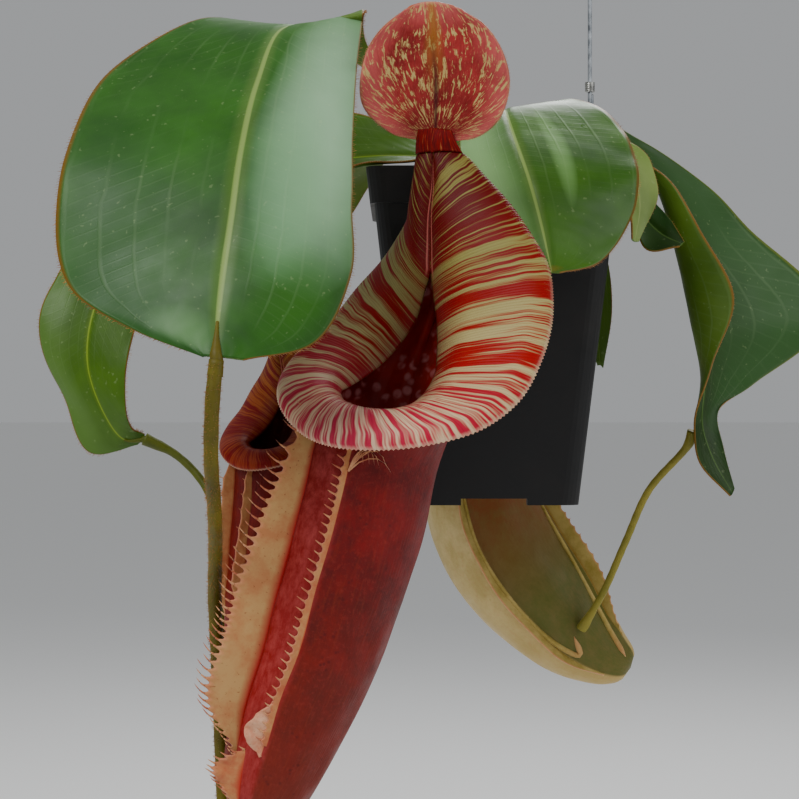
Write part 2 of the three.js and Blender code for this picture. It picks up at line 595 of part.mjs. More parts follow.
// A wing down the front of a cup, with a fringe of hairs along its edge. Its root is sunk into the wall.
function wingParts(body, { at, lean, widths, hairs, hairLength }) {
  const width = new THREE.SplineCurve(widths.map(([s, w]) => new THREE.Vector2(s, w)));
  const [from, to] = [widths[0][0], widths.at(-1)[0]];
  const edgeAt = (t) => {
    const ring = ringAt(body, mix(from, to, t));
    const root = onRing({ ...ring, radius: ring.radius - WING_ROOT }, degrees(at));
    const out = onRing({ ...ring, centre: new THREE.Vector3(), radius: 1 }, degrees(at + lean));
    return { root, out, up: ring.up, reach: width.getPoint(t).y + WING_ROOT };
  };
  const grid = [];
  for (let i = 0; i <= body.wingRows; i++) {
    const { root, out, reach } = edgeAt(i / body.wingRows);
    grid.push([0, 0.5, 1].map((share) => root.clone().addScaledVector(out, share * reach)));
  }
  const parts = [sheet(grid, WING_THICKNESS)];
  for (let n = 0; n < hairs; n++) {
    const t = (n + 0.5) / hairs;
    const { root, out, up, reach } = edgeAt(t);
    const length = hairLength * (0.8 + 0.35 * Math.sin(n * 2.4));
    const foot = root.clone().addScaledVector(out, reach - 0.7);
    const tip = root.clone().addScaledVector(out, reach + length).addScaledVector(up, length * 0.45);
    parts.push(stalk([foot, tip].map((p) => p.toArray()), (s) => mix(0.5, 0.2, s) * body.size, 1, 3));
  }
  return parts;
}

const cupGeometry = (lines, body) =>
  join([cupShell(lines, body), ...body.wings.flatMap((wing) => wingParts(body, wing))]);

// The lid over the back of the mouth, drawn as a short broad leaf.
const LID = {
  midrib: [[-24, -99.8, -0.2], [-24, -102.4, 4.5], [-24, -106, 12], [-24, -110, 21], [-25, -114, 30],
    [-25, -117, 38], [-26, -119.3, 46.3]],
  left: [[-28.5, -99.8, -0.5], [-40, -107, 1.5], [-49, -111, 9], [-51, -114, 18], [-49, -117, 28],
    [-43, -119, 37], [-35, -120, 43.5]],
  right: [[-20.5, -99.7, -0.8], [-9, -104, 0.5], [-1, -108, 7], [2, -112, 18], [0, -116, 28],
    [-7, -119, 38], [-15.5, -120, 43.5]],
};

function lidGeometry(place, rows) {
  const put = (line) => line.map((p) => vec(p).applyMatrix4(place).toArray());
  const lines = { midrib: put(LID.midrib), left: put(LID.left), right: put(LID.right) };
  return leafGeometry({ ...lines, rows, columns: 8 });
}

const movedTo = (from, to, turn, lean, size) => new THREE.Matrix4()
  .makeTranslation(...to)
  .multiply(new THREE.Matrix4().makeRotationY(degrees(lean)))
  .multiply(new THREE.Matrix4().makeRotationZ(degrees(turn)))
  .multiply(new THREE.Matrix4().makeScale(size, size, size))
  .multiply(new THREE.Matrix4().makeTranslation(...from.map((value) => -value)));

const MAIN_AXIS = [[-48.5, -125, -116], [-51.7, -125, -131], [-56, -126, -147], [-61.2, -127, -164],
  [-66.4, -128, -181], [-73, -129, -198], [-79, -130, -215], [-84.5, -131, -230], [-89.5, -132, -241]];
const MAIN_FRONT = new THREE.Vector3(-0.755, -0.656, 0);
const MAIN_LEVELS = [[0, 24.8], [0.2, 24.7], [0.38, 23.8], [0.54, 22.2], [0.7, 19.8], [0.83, 16.4],
  [0.92, 12.4], [0.98, 7], [1, 2.6]];
const FRONT_LIP = [-45, -164, -111];
const MOUTH_MIDDLE = [-38, -128, -60];
const SMALL_SIZE = 0.52;
const SMALL_PLACE = movedTo(FRONT_LIP, [-84, -100, -119], 0, -10, SMALL_SIZE);
const BACK_SIZE = 0.8;
const BACK_PLACE = movedTo(MOUTH_MIDDLE, [-8, 100, -80], 78, -15, BACK_SIZE);

const PITCHERS = {
  pitcher_main: {
    place: new THREE.Matrix4(),
    perStation: 3,
    shares: RIM_SHARES,
    wallRows: 4,
    wingRows: 10,
    axis: MAIN_AXIS,
    front: MAIN_FRONT,
    levels: MAIN_LEVELS,
    size: 1,
    colour: 'cup',
    wings: [
      { at: 0, lean: -31, hairs: 18, hairLength: 5.2,
        widths: [[0, 9], [0.12, 12], [0.25, 14], [0.37, 15.5], [0.49, 16], [0.62, 16.5], [0.74, 12]] },
      { at: 36, lean: -56, hairs: 16, hairLength: 3.2,
        widths: [[0, 5], [0.12, 5.5], [0.25, 6], [0.37, 6.5], [0.49, 7], [0.62, 7.5], [0.73, 5]] },
    ],
  },
  pitcher_left: {
    place: SMALL_PLACE,
    perStation: 2,
    shares: SMALL_RIM_SHARES,
    wallRows: 3,
    wingRows: 6,
    axis: MAIN_AXIS.map((p) => vec(p).applyMatrix4(SMALL_PLACE).toArray()),
    front: MAIN_FRONT,
    levels: MAIN_LEVELS.map(([s, radius]) => [s, Math.max(radius * SMALL_SIZE, 2.2)]),
    size: SMALL_SIZE,
    colour: 'cup',
    wings: [
      { at: -26, lean: -5, hairs: 6, hairLength: 2.6, widths: [[0, 3], [0.25, 4.5], [0.5, 6], [0.7, 5]] },
      { at: 26, lean: -46, hairs: 6, hairLength: 2, widths: [[0, 3], [0.25, 3.5], [0.5, 4], [0.7, 4.5]] },
    ],
  },
  pitcher_back: {
    place: BACK_PLACE,
    perStation: 2,
    shares: SMALL_RIM_SHARES,
    wallRows: 3,
    wingRows: 6,
    axis: [[-3, 96, -124], [1, 93, -143], [11, 89, -163], [25, 85, -181], [39, 82, -196], [53, 80, -206],
      [65, 79, -212]],
    front: new THREE.Vector3(0.485, -0.875, 0),
    levels: [[0, 22], [0.14, 25.5], [0.3, 27], [0.48, 25.5], [0.66, 21], [0.8, 16], [0.92, 11], [0.98, 7],
      [1, 2.6]],
    size: BACK_SIZE,
    colour: 'pale',
    wings: [
      { at: -48, lean: -20, hairs: 8, hairLength: 3, widths: [[0.05, 3], [0.3, 4], [0.55, 5], [0.78, 4]] },
      { at: 44, lean: 20, hairs: 8, hairLength: 3.5, widths: [[0.05, 4], [0.3, 6], [0.55, 7], [0.78, 5]] },
    ],
  },
};

// ---------------------------------------------------------------- assembly
const MATERIALS = {
  plastic: paint(0x17181a, 0.5),
  mix: paint(0x3a2c20, 0.95),
  stem: paint(0x6d7a3a, 0.7),
  steel: paint(0x8d9499, 0.35, 0.9),
  leaf: paint(0x3c7a3a, 0.45),
  young: paint(0x86a83c, 0.5),
  tendril: paint(0x7d8438, 0.6),
  rim: paint(0xc9766a, 0.4),
  cup: paint(0xa8382c, 0.55),
  lid: paint(0xb8463a, 0.5),
  pale: paint(0xb9b57c, 0.55),
};

const plant = new THREE.Group();
plant.position.copy(HOOK_POINT).negate();
const group = new THREE.Group();
group.add(plant);

function addPiece(name, geometry, material) {
  const mesh = new THREE.Mesh(geometry, material);
  mesh.name = name;
  plant.add(mesh);
}

addPiece('pot', potGeometry(), MATERIALS.plastic);
addPiece('growing_mix', mixGeometry(), MATERIALS.mix);
addPiece('stem', stemGeometry(), MATERIALS.stem);
addPiece('hanger_wire', hangerGeometry(), MATERIALS.steel);
addPiece('hanger_ferrule', ferruleGeometry(), MATERIALS.steel);
for (const [name, leaf] of Object.entries(LEAVES)) addPiece(name, leafGeometry(leaf), MATERIALS.leaf);
addPiece('leaf_spear', spearGeometry(), MATERIALS.young);
for (const [name, route] of Object.entries(TENDRILS)) {
  addPiece(name, tendrilGeometry(route), MATERIALS.tendril);
}
for (const [name, pitcher] of Object.entries(PITCHERS)) {
  const lines = mouthLines(pitcher.place);
  const body = { ...pitcher, line: curveThrough(pitcher.axis) };
  addPiece(`${name}_rim`, rimGeometry(lines, pitcher.perStation, pitcher.shares), MATERIALS.rim);
  addPiece(`${name}_cup`, cupGeometry(lines, body), MATERIALS[pitcher.colour]);
  addPiece(`${name}_lid`, lidGeometry(pitcher.place, pitcher.perStation * 3), MATERIALS.lid);
}

export default group;
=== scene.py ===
import math
import random
from functools import partialmethod

import bmesh
import bpy
from mathutils import Matrix, Vector


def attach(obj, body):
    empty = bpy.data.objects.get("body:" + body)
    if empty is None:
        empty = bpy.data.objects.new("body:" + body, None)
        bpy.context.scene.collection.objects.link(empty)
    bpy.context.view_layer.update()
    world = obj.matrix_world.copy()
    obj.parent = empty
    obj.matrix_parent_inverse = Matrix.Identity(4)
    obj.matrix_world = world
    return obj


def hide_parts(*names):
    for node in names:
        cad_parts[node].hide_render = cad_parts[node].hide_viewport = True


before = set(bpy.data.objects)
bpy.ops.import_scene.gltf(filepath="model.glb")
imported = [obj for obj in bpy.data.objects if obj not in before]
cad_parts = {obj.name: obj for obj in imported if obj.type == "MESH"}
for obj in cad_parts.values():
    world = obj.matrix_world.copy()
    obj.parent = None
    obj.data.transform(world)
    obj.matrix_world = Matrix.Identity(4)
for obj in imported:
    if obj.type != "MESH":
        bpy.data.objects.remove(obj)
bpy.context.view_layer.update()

HOOK = Vector((6, 4, 208))
MM = 0.001
UP = Vector((0, 0, 1))
MERGE = 2e-6
UV_NAME = "surface"

POT_TOP, POT_BOTTOM, POT_RIM, POT_FOOT, POT_WALL, POT_LIP = -4, -135, 100, 67, 1.6, 1.6
SOIL_TOP = POT_TOP - 9
STEM_RADIUS, STEM_TOP, STEM_DOME = 5.5, 9, 1.6
WIRE_RADIUS, WIRE_X, WIRE_Y = 0.9, 43.9, 43.3
FERRULE_HEIGHT, FERRULE_HALF, FERRULE_WALL = 39, 2, 0.9
FIT_GAP = 0.35  # the air between pieces that meet
TENDRIL_RADIUS = 2.6
SLIM = 0.9  # how much thinner the two short tendrils are between their ends
RIM_THICKNESS, RIM_CLEARANCE = 1.5, 0.95
RIM_SEAT = 0.34  # the share of the rim's section under which the cup's wall ends
RIM_RISE, RIM_ROLL = (2.5, 8.5), (0.5, 4)  # how high its section bulges and curls, at the neck and elsewhere
RIM_TEETH_FROM = 0.9  # the share of the section where its edge turns toothed
BLADE = 0.8  # how thick a leaf or lid is
RIBS_PER_STATION, SMALL_RIM_RIBS = 11, 7  # ribs between two stations of the mouth
RICHNESS = 1.25  # how much deeper than on screen the colours are mixed, for the bright studio
RAGGED = 0.35  # how far noise breaks the edge of a leaf's soft patches
HAIR_GRIP = 0.4  # how far a hair's root sits inside its leaf, in millimetres
CAMERA_PLACE, CAMERA_LENS, CAMERA_SENSOR = (-0.043, -0.904, -0.3017), 100, 36
LIGHTS_AIM = Vector((-0.05, -0.06, -0.28))
LIGHTS = [("key_light", (-0.7, -0.9, 0.75), 16, 0.7), ("fill_light", (0.95, -0.6, 0.2), 5, 0.9),
          ("rear_light", (0.3, 0.9, 0.7), 9, 0.7)]
FLOOR_HEIGHT, FLOOR_HALF = -0.62, 30.0


# ---------------------------------------------------------------- curves and small sums
def mix(a, b, t):
    return a + (b - a) * t


def clamp(t):
    return min(1.0, max(0.0, t))


def smooth(t):
    t = clamp(t)
    return t * t * (3 - 2 * t)


def bell(x, width):
    return math.exp(-(x / width) ** 2)


def angle_of(share):
    """The angle at a share of a whole turn, where the end is the start again."""
    return math.tau * (share if share < 1 else 0)


def ring_point(radius, angle, z):
    """A point around the upright axis."""
    return Vector((radius * math.cos(angle), radius * math.sin(angle), z))


class Line:
    """A smooth centripetal curve through points, open or closed."""

    def __init__(self, points, closed=False):
        self.points = [Vector(p) for p in points]
        self.closed = closed

    def pick(self, k):
        points = self.points
        if self.closed:
            return points[k % len(points)]
        if k < 0:
            return points[0] * 2 - points[1]
        if k >= len(points):
            return points[-1] * 2 - points[-2]
        return points[k]

    def at(self, t):
        count = len(self.points)
        place = (count if self.closed else count - 1) * (t if self.closed else clamp(t))
        start = math.floor(place)
        if not self.closed:
            start = min(start, count - 2)
        w = place - start
        a, b, c, d = (self.pick(start + k) for k in (-1, 0, 1, 2))
        middle = (c - b).length_squared ** 0.25 or 1.0
        before = (b - a).length_squared ** 0.25 or middle
        after = (d - c).length_squared ** 0.25 or middle
        leave = ((b - a) / before - (c - a) / (before + middle) + (c - b) / middle) * middle
        arrive = ((c - b) / middle - (d - b) / (middle + after) + (d - c) / after) * middle
        square = (c - b) * 3 - leave * 2 - arrive
        cube = (b - c) * 2 + leave + arrive
        return b + leave * w + square * w * w + cube * w * w * w

    def tangent(self, t):
        step = 1e-4
        low, high = (t - step, t + step) if self.closed else (max(0, t - step), min(1, t + step))
        return (self.at(high) - self.at(low)).normalized()

    def evenly(self, count):
        """count + 1 points at even distances along the curve."""
        fine = [self.at(k / (8 * count)) for k in range(8 * count + 1)]
        run = [0.0]
        for a, b in zip(fine, fine[1:]):
            run.append(run[-1] + (b - a).length)
        found, k = [], 0
        for n in range(count + 1):
            goal = run[-1] * n / count
            while k < len(run) - 2 and run[k + 1] < goal:
                k += 1
            span = run[k + 1] - run[k] or 1.0
            found.append(fine[k].lerp(fine[k + 1], clamp((goal - run[k]) / span)))
        return found


def bezier(a, b, c, d, t):
    s = 1 - t
    return a * (s * s * s) + b * (3 * s * s * t) + c * (3 * s * t * t) + d * (t * t * t)


# ---------------------------------------------------------------- making pieces
def to_row(point):
    return (point - HOOK) * MM


def welded(work):
    """The bmesh without doubled points and flat faces."""
    bmesh.ops.remove_doubles(work, verts=work.verts, dist=MERGE)
    bmesh.ops.dissolve_degenerate(work, edges=work.edges, dist=MERGE / 2)
    return work


def outward(work):
    bmesh.ops.recalc_face_normals(work, faces=work.faces)
    return work


def spread(columns, rows, at, relief=None, wrap=False):
    """A bmesh grid laid over at(u, v), raised by relief(u, v) millimetres along its normals."""
    base = [[at(i / columns, j / rows) for j in range(rows + 1)] for i in range(columns + 1)]

    def lifted(i, j):
        if relief is None:
            return base[i][j]
        height = relief(i / columns, j / rows)
        if height == 0:
            return base[i][j]
        if wrap:
            ahead, behind = base[(i + 1) % columns][j], base[(i - 1) % columns][j]
        else:
            ahead, behind = base[min(i + 1, columns)][j], base[max(i - 1, 0)][j]
        side = base[i][min(j + 1, rows)] - base[i][max(j - 1, 0)]
        return base[i][j] + (ahead - behind).cross(side).normalized() * height

    work = bmesh.new()
    work.loops.layers.uv.new(UV_NAME)
    bmesh.ops.create_grid(work, x_segments=columns, y_segments=rows, size=0.5, calc_uvs=True)
    for vert in work.verts:
        i, j = round((vert.co.x + 0.5) * columns), round((vert.co.y + 0.5) * rows)
        vert.co = to_row(lifted(i, j))
    return welded(work)


def tube(path, radius_at, sides):
    """A closed round tube along evenly spaced points. radius_at(s) is its radius in millimetres."""
    rows = len(path) - 1
    side = (path[1] - path[0]).normalized().cross(Vector((0.3, 0.9, 0.1))).normalized()
    frames = []
    for k in range(rows + 1):
        heading = (path[min(k + 1, rows)] - path[max(k - 1, 0)]).normalized()
        side = (side - heading * side.dot(heading)).normalized()
        frames.append((side, heading.cross(side)))

    def at(u, v):
        k = round(v * (rows + 2)) - 1
        closed = k < 0 or k > rows
        k = min(max(k, 0), rows)
        radius = 0 if closed else radius_at(k / rows)
        (side, up), angle = frames[k], angle_of(u)
        return path[k] + side * (radius * math.cos(angle)) + up * (radius * math.sin(angle))

    return spread(sides, rows + 2, at)


def tube_along(route, count, radius_at, sides):
    return tube(Line(route).evenly(count), radius_at, sides)


def strands(paths, thick, thin, sides=3):
    """Many threads in one bmesh, thick at the root. Every path has the same number of points."""
    steps = len(paths[0]) + 1
    rows = len(paths) * steps - 1
    last = steps - 2
    work = bmesh.new()
    bmesh.ops.create_grid(work, x_segments=sides, y_segments=rows, size=0.5)
    owner = {}
    for vert in work.verts:
        strand, row = divmod(round((vert.co.y + 0.5) * rows), steps)
        owner[vert.index] = strand
        path, k = paths[strand], max(0, row - 1)
        heading = (path[min(k + 1, last)] - path[max(k - 1, 0)]).normalized()
        side = heading.orthogonal().normalized()
        angle = math.tau * ((vert.co.x + 0.5) % 1)
        radius = 0 if row == 0 or k == last else mix(thick, thin, k / last)
        out = side * math.cos(angle) + heading.cross(side) * math.sin(angle)
        vert.co = to_row(path[k] + out * radius)
    links = [f for f in work.faces if len({owner[v.index] for v in f.verts}) > 1]
    bmesh.ops.delete(work, geom=links, context="FACES")
    return outward(welded(work))


def in_scene(name, data, place=(0, 0, 0)):
    """A new object, linked to the scene."""
    made = bpy.data.objects.new(name, data)
    made.location = place
    bpy.context.scene.collection.objects.link(made)
    return made


def mesh_of(work, name):
    mesh = bpy.data.meshes.new(name)
    work.to_mesh(mesh)
    work.free()
    return mesh


def piece(name, work, looks, stands_for=(), thickness=0.0, offset=0.0, flat=False):
    """The finished object of a bmesh, riding on the plant's one body."""
    mesh = mesh_of(work, name)
    mesh.polygons.foreach_set("use_smooth", [not flat] * len(mesh.polygons))
    for look in looks:
        mesh.materials.append(look)
    made = in_scene(name, mesh)
    if thickness:
        wall = made.modifiers.new("thickness", "SOLIDIFY")
        wall.thickness = thickness * MM
        wall.offset = offset
        wall.use_rim = True
        wall.material_offset = len(looks) - 1
    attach(made, "root")
    if stands_for:
        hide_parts(*stands_for)
    return made


# ---------------------------------------------------------------- finishes
def tone(red, green, blue):
    """A linear colour from a screen colour, deepened for the bright studio light."""
    def linear(value):
        value /= 255
        return value / 12.92 if value <= 0.04045 else ((value + 0.055) / 1.055) ** 2.4
    color = [linear(red), linear(green), linear(blue)]
    grey = sum(color) / 3
    return tuple(max(0.0, grey + (value - grey) * RICHNESS) for value in color) + (1.0,)


class Value:
    """A number or colour inside a finish. Sums and methods add the nodes that work out the next one."""

    def __init__(self, look, socket):
        self.look, self.socket = look, socket

    def sum(self, kind, other=0.0):
        return self.look.value("ShaderNodeMath", {0: self, 1: other}, operation=kind)

    def ramp(self, *stops):
        """A grey or a screen colour between (position, grey or colour) stops."""
        made = self.look.add("ShaderNodeValToRGB", {0: self})
        scale = made.color_ramp
        while len(scale.elements) < len(stops):
            scale.elements.new(1.0)
        for element, (position, color) in zip(scale.elements, stops):
            element.position = position
            element.color = tone(*color) if isinstance(color, tuple) else (color, color, color, 1)
        return Value(self.look, made.outputs[0])

    def step(self, low, high):
        """0 below low and 1 above high, or the other way round where low is the larger."""
        return self.ramp((low, 0.0), (high, 1.0)) if low < high else self.ramp((high, 1.0), (low, 0.0))

    def under(self, *layers):
        """This colour with layers over it, each a (strength, colour) pair."""
        color = self
        for strength, shade in layers:
            color = self.look.value("ShaderNodeMix", {0: strength, 6: color, 7: shade}, 2, data_type="RGBA")
        return color


for method, kind in {"__add__": "ADD", "__sub__": "SUBTRACT", "__mul__": "MULTIPLY", "__truediv__": "DIVIDE",
                     "most": "MAXIMUM", "size": "ABSOLUTE", "sine": "SINE", "above": "GREATER_THAN"}.items():
    setattr(Value, method, partialmethod(Value.sum, kind))


class Look:
    """A procedural finish: nodes are added from its patterns towards the shader."""

    def __init__(self, name, **plain):
        self.material = bpy.data.materials.new(name)
        self.material.use_nodes = True
        self.nodes = self.material.node_tree.nodes
        self.links = self.material.node_tree.links
        self.shader = next(n for n in self.nodes if n.type == "BSDF_PRINCIPLED")
        for socket, value in plain.items():
            self.put(self.shader.inputs[socket.replace("_", " ")], value)
        self.place = self.add("ShaderNodeTexCoord").outputs["Object"]

    def put(self, socket, value):
        """A value, another node's output, a plain number or a screen colour into a node's input."""
        value = getattr(value, "socket", value)
        if isinstance(value, bpy.types.NodeSocket):
            self.links.new(value, socket)
        else:
            socket.default_value = tone(*value) if isinstance(value, tuple) else value

    def add(self, kind, inputs=(), **settings):
        made = self.nodes.new(kind)
        for key, value in settings.items():
            setattr(made, key, value)
        for key, value in dict(inputs).items():
            self.put(made.inputs[key], value)
        return made

    def value(self, kind, inputs, output=0, **settings):
        return Value(self, self.add(kind, inputs, **settings).outputs[output])

    def uv(self):
        place = self.value("ShaderNodeUVMap", {}, uv_map=UV_NAME)
        return [self.value("ShaderNodeSeparateXYZ", {0: place}, k) for k in (0, 1)]

    def vector(self, x, y, z=0.0):
        return self.value("ShaderNodeCombineXYZ", {0: x, 1: y, 2: z})

    def noise(self, scale, detail, rough=0.5, where=None, warp=0.0):
        return self.value("ShaderNodeTexNoise", {"Scale": scale, "Detail": detail, "Roughness": rough,
                                                 "Distortion": warp, "Vector": where or self.place}, "Fac")

    def drawn(self, x, y, z=0.0, detail=2, rough=0.5, warp=0.0):
        """Noise drawn out by coordinates of its own."""
        return self.noise(1.0, detail, rough, self.vector(x, y, z), warp)

    def cells(self, scale):
        return self.value("ShaderNodeTexVoronoi", {"Scale": scale, "Vector": self.place}, "Distance")

    def spot(self, u, v, centre, reach, strength):
        """A soft patch around a place on the surface, its edge broken by noise."""
        across, down = (u - centre[0]) / reach[0], (v - centre[1]) / reach[1]
        far = self.noise(30, 3, 0.6) * RAGGED + (across * across + down * down)
        return far.ramp((RAGGED * 0.5, strength), (0.5 + RAGGED * 0.5, strength * 0.35), (1.0, 0.0))

    def done(self, color, *bumps, rough=None):
        """The material with its colour, its (height, distance, strength) bumps and its roughness."""
        self.put(self.shader.inputs["Base Color"], color)
        if rough:
            self.put(self.shader.inputs["Roughness"], rough)
        normal = None
        for height, distance, strength in bumps:
            inputs = {"Height": height, "Distance": distance, "Strength": strength}
            if normal:
                inputs["Normal"] = normal
            normal = self.value("ShaderNodeBump", inputs)
        if normal:
            self.put(self.shader.inputs["Normal"], normal)
        return self.material


def leaf_look(name, deep, fresh, midrib, patches=(), gloss=0.42, wet=0.03, margin=(124, 84, 44)):
    """A leaf's face: mottled green, faint veins, a pale midrib, a tan margin and soft patches.

    patches holds (centre, reach, colour, strength) with centre and reach along and across the blade.
    Some patches are pale painted sheen, where the glossy blade would reflect the light; others are paler and
    darker greens."""
    look = Look(name, Coat_Weight=wet, Coat_Roughness=0.3, Specular_IOR_Level=0.28)
    u, v = look.uv()
    out = (v - 0.5).size()
    clouds = look.noise(26, 4, 0.6)
    waver = look.noise(40, 2) * 2.5
    veins = (u * 420.0 + waver + out * -70.0).sine().step(0.8, 1.0)
    lengthwise = (out * 66.0 + waver).sine().step(0.9, 1.0)
    net = (veins * 0.03).most(lengthwise * 0.06) * look.noise(22, 2).step(0.4, 0.65)
    rib = out.step(0.016, 0.007).most(out.step(0.05, 0.012) * 0.25)
    scratches = look.noise(260, 2, 0.6, look.vector(u * 1.2, v * 3.0))
    marks = (look.noise(520, 1).step(0.7, 0.76) * 0.12).most(scratches.step(0.7, 0.74) * 0.14)
    # Soft spots of colour over the mottle; the pale ones are painted sheen, a painted reflection of the
    # light.
    patches = [(look.spot(u, v, centre, reach, power), shade) for centre, reach, shade, power in patches]
    color = clouds.ramp((0.3, deep), (0.68, fresh)).under(
        *patches, (net, (170, 190, 150)), (rib * 0.8, midrib), (out.step(0.488, 0.497) * 0.8, margin),
        (marks, (180, 194, 150)))
    return look.done(color, (net * 3.0 + clouds * 0.3, 0.0006, 0.45),
                     rough=look.noise(60, 4).ramp((0.3, gloss - 0.06), (0.7, gloss + 0.12)))


# Where the rim's bands lie, from the seam down its right side, and back up its left side to the seam:
# stations round the mouth and how red the rim is there, 0 cream to 1 red.
RIGHT_BANDS = [
    (0, 1), (1.05, 0.95), (1.2, 0.1), (1.36, 0.2), (1.46, 0.85), (1.56, 0.15), (1.75, 0.3), (1.9, 1),
    (3.45, 0.95), (3.6, 0.35), (3.78, 0.85), (4, 0.9), (4.15, 0.3), (4.5, 0.4), (4.65, 0.85), (4.8, 0.4),
    (5.05, 0.32), (5.2, 0.8), (5.32, 0.35), (5.5, 0.4), (5.62, 1), (6.05, 1), (6.2, 0.22), (6.7, 0.3),
    (6.85, 0.65), (7, 0.32), (7.5, 0.4), (7.7, 0.9), (8.1, 0.85), (8.3, 0.35), (9, 0.55), (13, 0.55)]
LEFT_BANDS = [
    (13, 0.5), (14.6, 0.5), (14.9, 0.85), (15.2, 0.8), (15.4, 0.15), (15.75, 0.2), (15.9, 0.85),
    (16.05, 0.8), (16.2, 0.15), (16.45, 0.2), (16.65, 0.95), (17.3, 0.85), (17.5, 0.4), (18.6, 0.5),
    (18.85, 0.9), (19, 0.25), (19.3, 0.2), (19.5, 0.95), (19.9, 0.9), (20.05, 0.1), (20.35, 0.15),
    (20.45, 0.9), (20.55, 0.15), (20.95, 0.1), (21.1, 0.9), (21.2, 0.15), (21.5, 0.15), (21.7, 1), (26, 1)]


def band_stops(bands):
    start, stop = bands[0][0], bands[-1][0]
    return [((station - start) / (stop - start), float(redness)) for station, redness in bands]


def rim_look(name, creams, reds, ribs, bands=None):
    """The ribbed rim: bands of cream and red that run across it, along its ribs.

    creams and reds are ramps of colour from the neck (0) round to the front lip (1)."""
    look = Look(name, Roughness=0.48, Specular_IOR_Level=0.14)
    u, v = look.uv()
    sway = (look.noise(3, 1, where=look.vector(u, v)) - 0.5) * 0.012 + u
    around = sway * STATIONS
    fine = look.drawn(around * 7.0, v * 1.3, 5, 1)
    hair = look.drawn(around * 19.0, v * 0.9, 9, 0)
    if bands:
        right, left = ((sway * 2.0 - start).ramp(*band_stops(side)) for start, side in enumerate(bands))
        redness, broken = right.under((sway.above(0.5), left)), 2.5
    else:
        redness, broken = look.drawn(around * 2.2, v * 0.8, 0, 1.5).step(0.35, 0.65), 1.2
    stripe = ((hair - 0.5) * 1.6 + ((fine - 0.5) * broken + redness)).step(0.24, 0.76)
    lip = (u - 0.5).size() * -2.0 + 1.0
    # Painted shade: the grooves between the ribs are darkened.
    groove_shade = (u * (math.pi * STATIONS * ribs)).sine().size()
    seam = v.step(0.062, 0.05) * v.step(0.028, 0.038) * lip.step(0.34, 0.3)
    edge = v.step(0.93, 1.0) * lip.step(0.3, 0.6)
    # The dark red band along the inner edge is painted shade, where the rim curls into the mouth.
    color = lip.ramp(*creams).under(
        (stripe, lip.ramp(*reds)), (v.step(0.34, 0.02) * 0.6, (74, 10, 10)),
        (groove_shade.step(0.6, 0.0) * 0.25, (92, 26, 20)), (seam * 0.6, (190, 116, 108)),
        (edge * 0.55, (226, 196, 172)))
    return look.done(color, (look.noise(300, 2), 0.0002, 0.3), (hair, 0.0002, 0.35))


def cup_look(name, top, deep, low, zone, zone_low, shine, zone_edges):
    """A pitcher's outer skin: mottled, warmer towards its foot, with the smoother zone between its wings.

    Pale streaks of painted highlight lie over the zone, where its gloss would catch the light.
    """
    look = Look(name, Coat_Weight=0.03, Coat_Roughness=0.4, Specular_IOR_Level=0.25)
    u, v = look.uv()
    mottle = (look.noise(130, 4, 0.65) - 0.5) * 0.7 + look.noise(34, 5, 0.7)
    fibres = look.drawn(u * 210.0, v * 12.0)
    freckles = look.cells(420).step(0.34, 0.1) * look.noise(110, 2).step(0.46, 0.58)
    first, last = zone_edges
    inside = u.step(first - 0.005, first + 0.005) * u.step(last + 0.005, last - 0.005)
    # Painted highlights: pale streaks over the glossy zone, in the shine colour.
    painted_highlights = look.drawn(u * 60.0, v * 24.0, 0, 4, 0.75).step(0.4, 0.8)
    color = mottle.ramp((0.32, deep), (0.68, top)).under(
        (v.ramp((0.35, 0.0), (0.95, 0.85)), low), (fibres.step(0.54, 0.72) * 0.05, (186, 96, 66)),
        (look.noise(620, 3, 0.7).step(0.52, 0.68) * 0.14, (160, 74, 66)), (freckles * 0.7, deep),
        (inside * 0.92, v.ramp((0.2, zone), (0.6, zone_low)).under((painted_highlights * 0.85, shine))))
    return look.done(color, (look.noise(900, 2), 0.00015, 0.5), (fibres + mottle, 0.0005, 0.4),
                     rough=look.noise(120, 3).ramp((0.3, 0.44), (0.7, 0.62)))


def throat_look(name, deep, flesh, speck):
    """The inside of a pitcher: dark red with clusters of pale mauve spots."""
    look = Look(name, Coat_Weight=0.05, Roughness=0.6, Specular_IOR_Level=0.25)
    chosen = look.noise(70, 3, 0.7).step(0.46, 0.54)
    color = look.noise(60, 4).ramp((0.35, deep), (0.65, flesh))
    color = color.under((look.cells(230).step(0.5, 0.3) * chosen * 0.75, speck))
    return look.done(color, (chosen, 0.0003, 0.4))


def wing_look(name, tan, blush, root, speckle):
    """A wing: tan skin with a soft red root line and a few dark specks."""
    look = Look(name, Sheen_Weight=0.15, Sheen_Roughness=0.5, Roughness=0.55, Specular_IOR_Level=0.25)
    u, v = look.uv()
    dashes = look.drawn(u * 90.0, v * 9.0, rough=0.7).step(0.64, 0.7)
    color = look.noise(90, 4, 0.7).ramp((0.35, blush), (0.6, tan)).under(
        (v.step(0.26, 0.06), root), (v.step(0.84, 1.0) * 0.5, (206, 140, 116)),
        (dashes * speckle, (110, 52, 34)))
    return look.done(color, (look.noise(500, 3), 0.0002, 0.5))


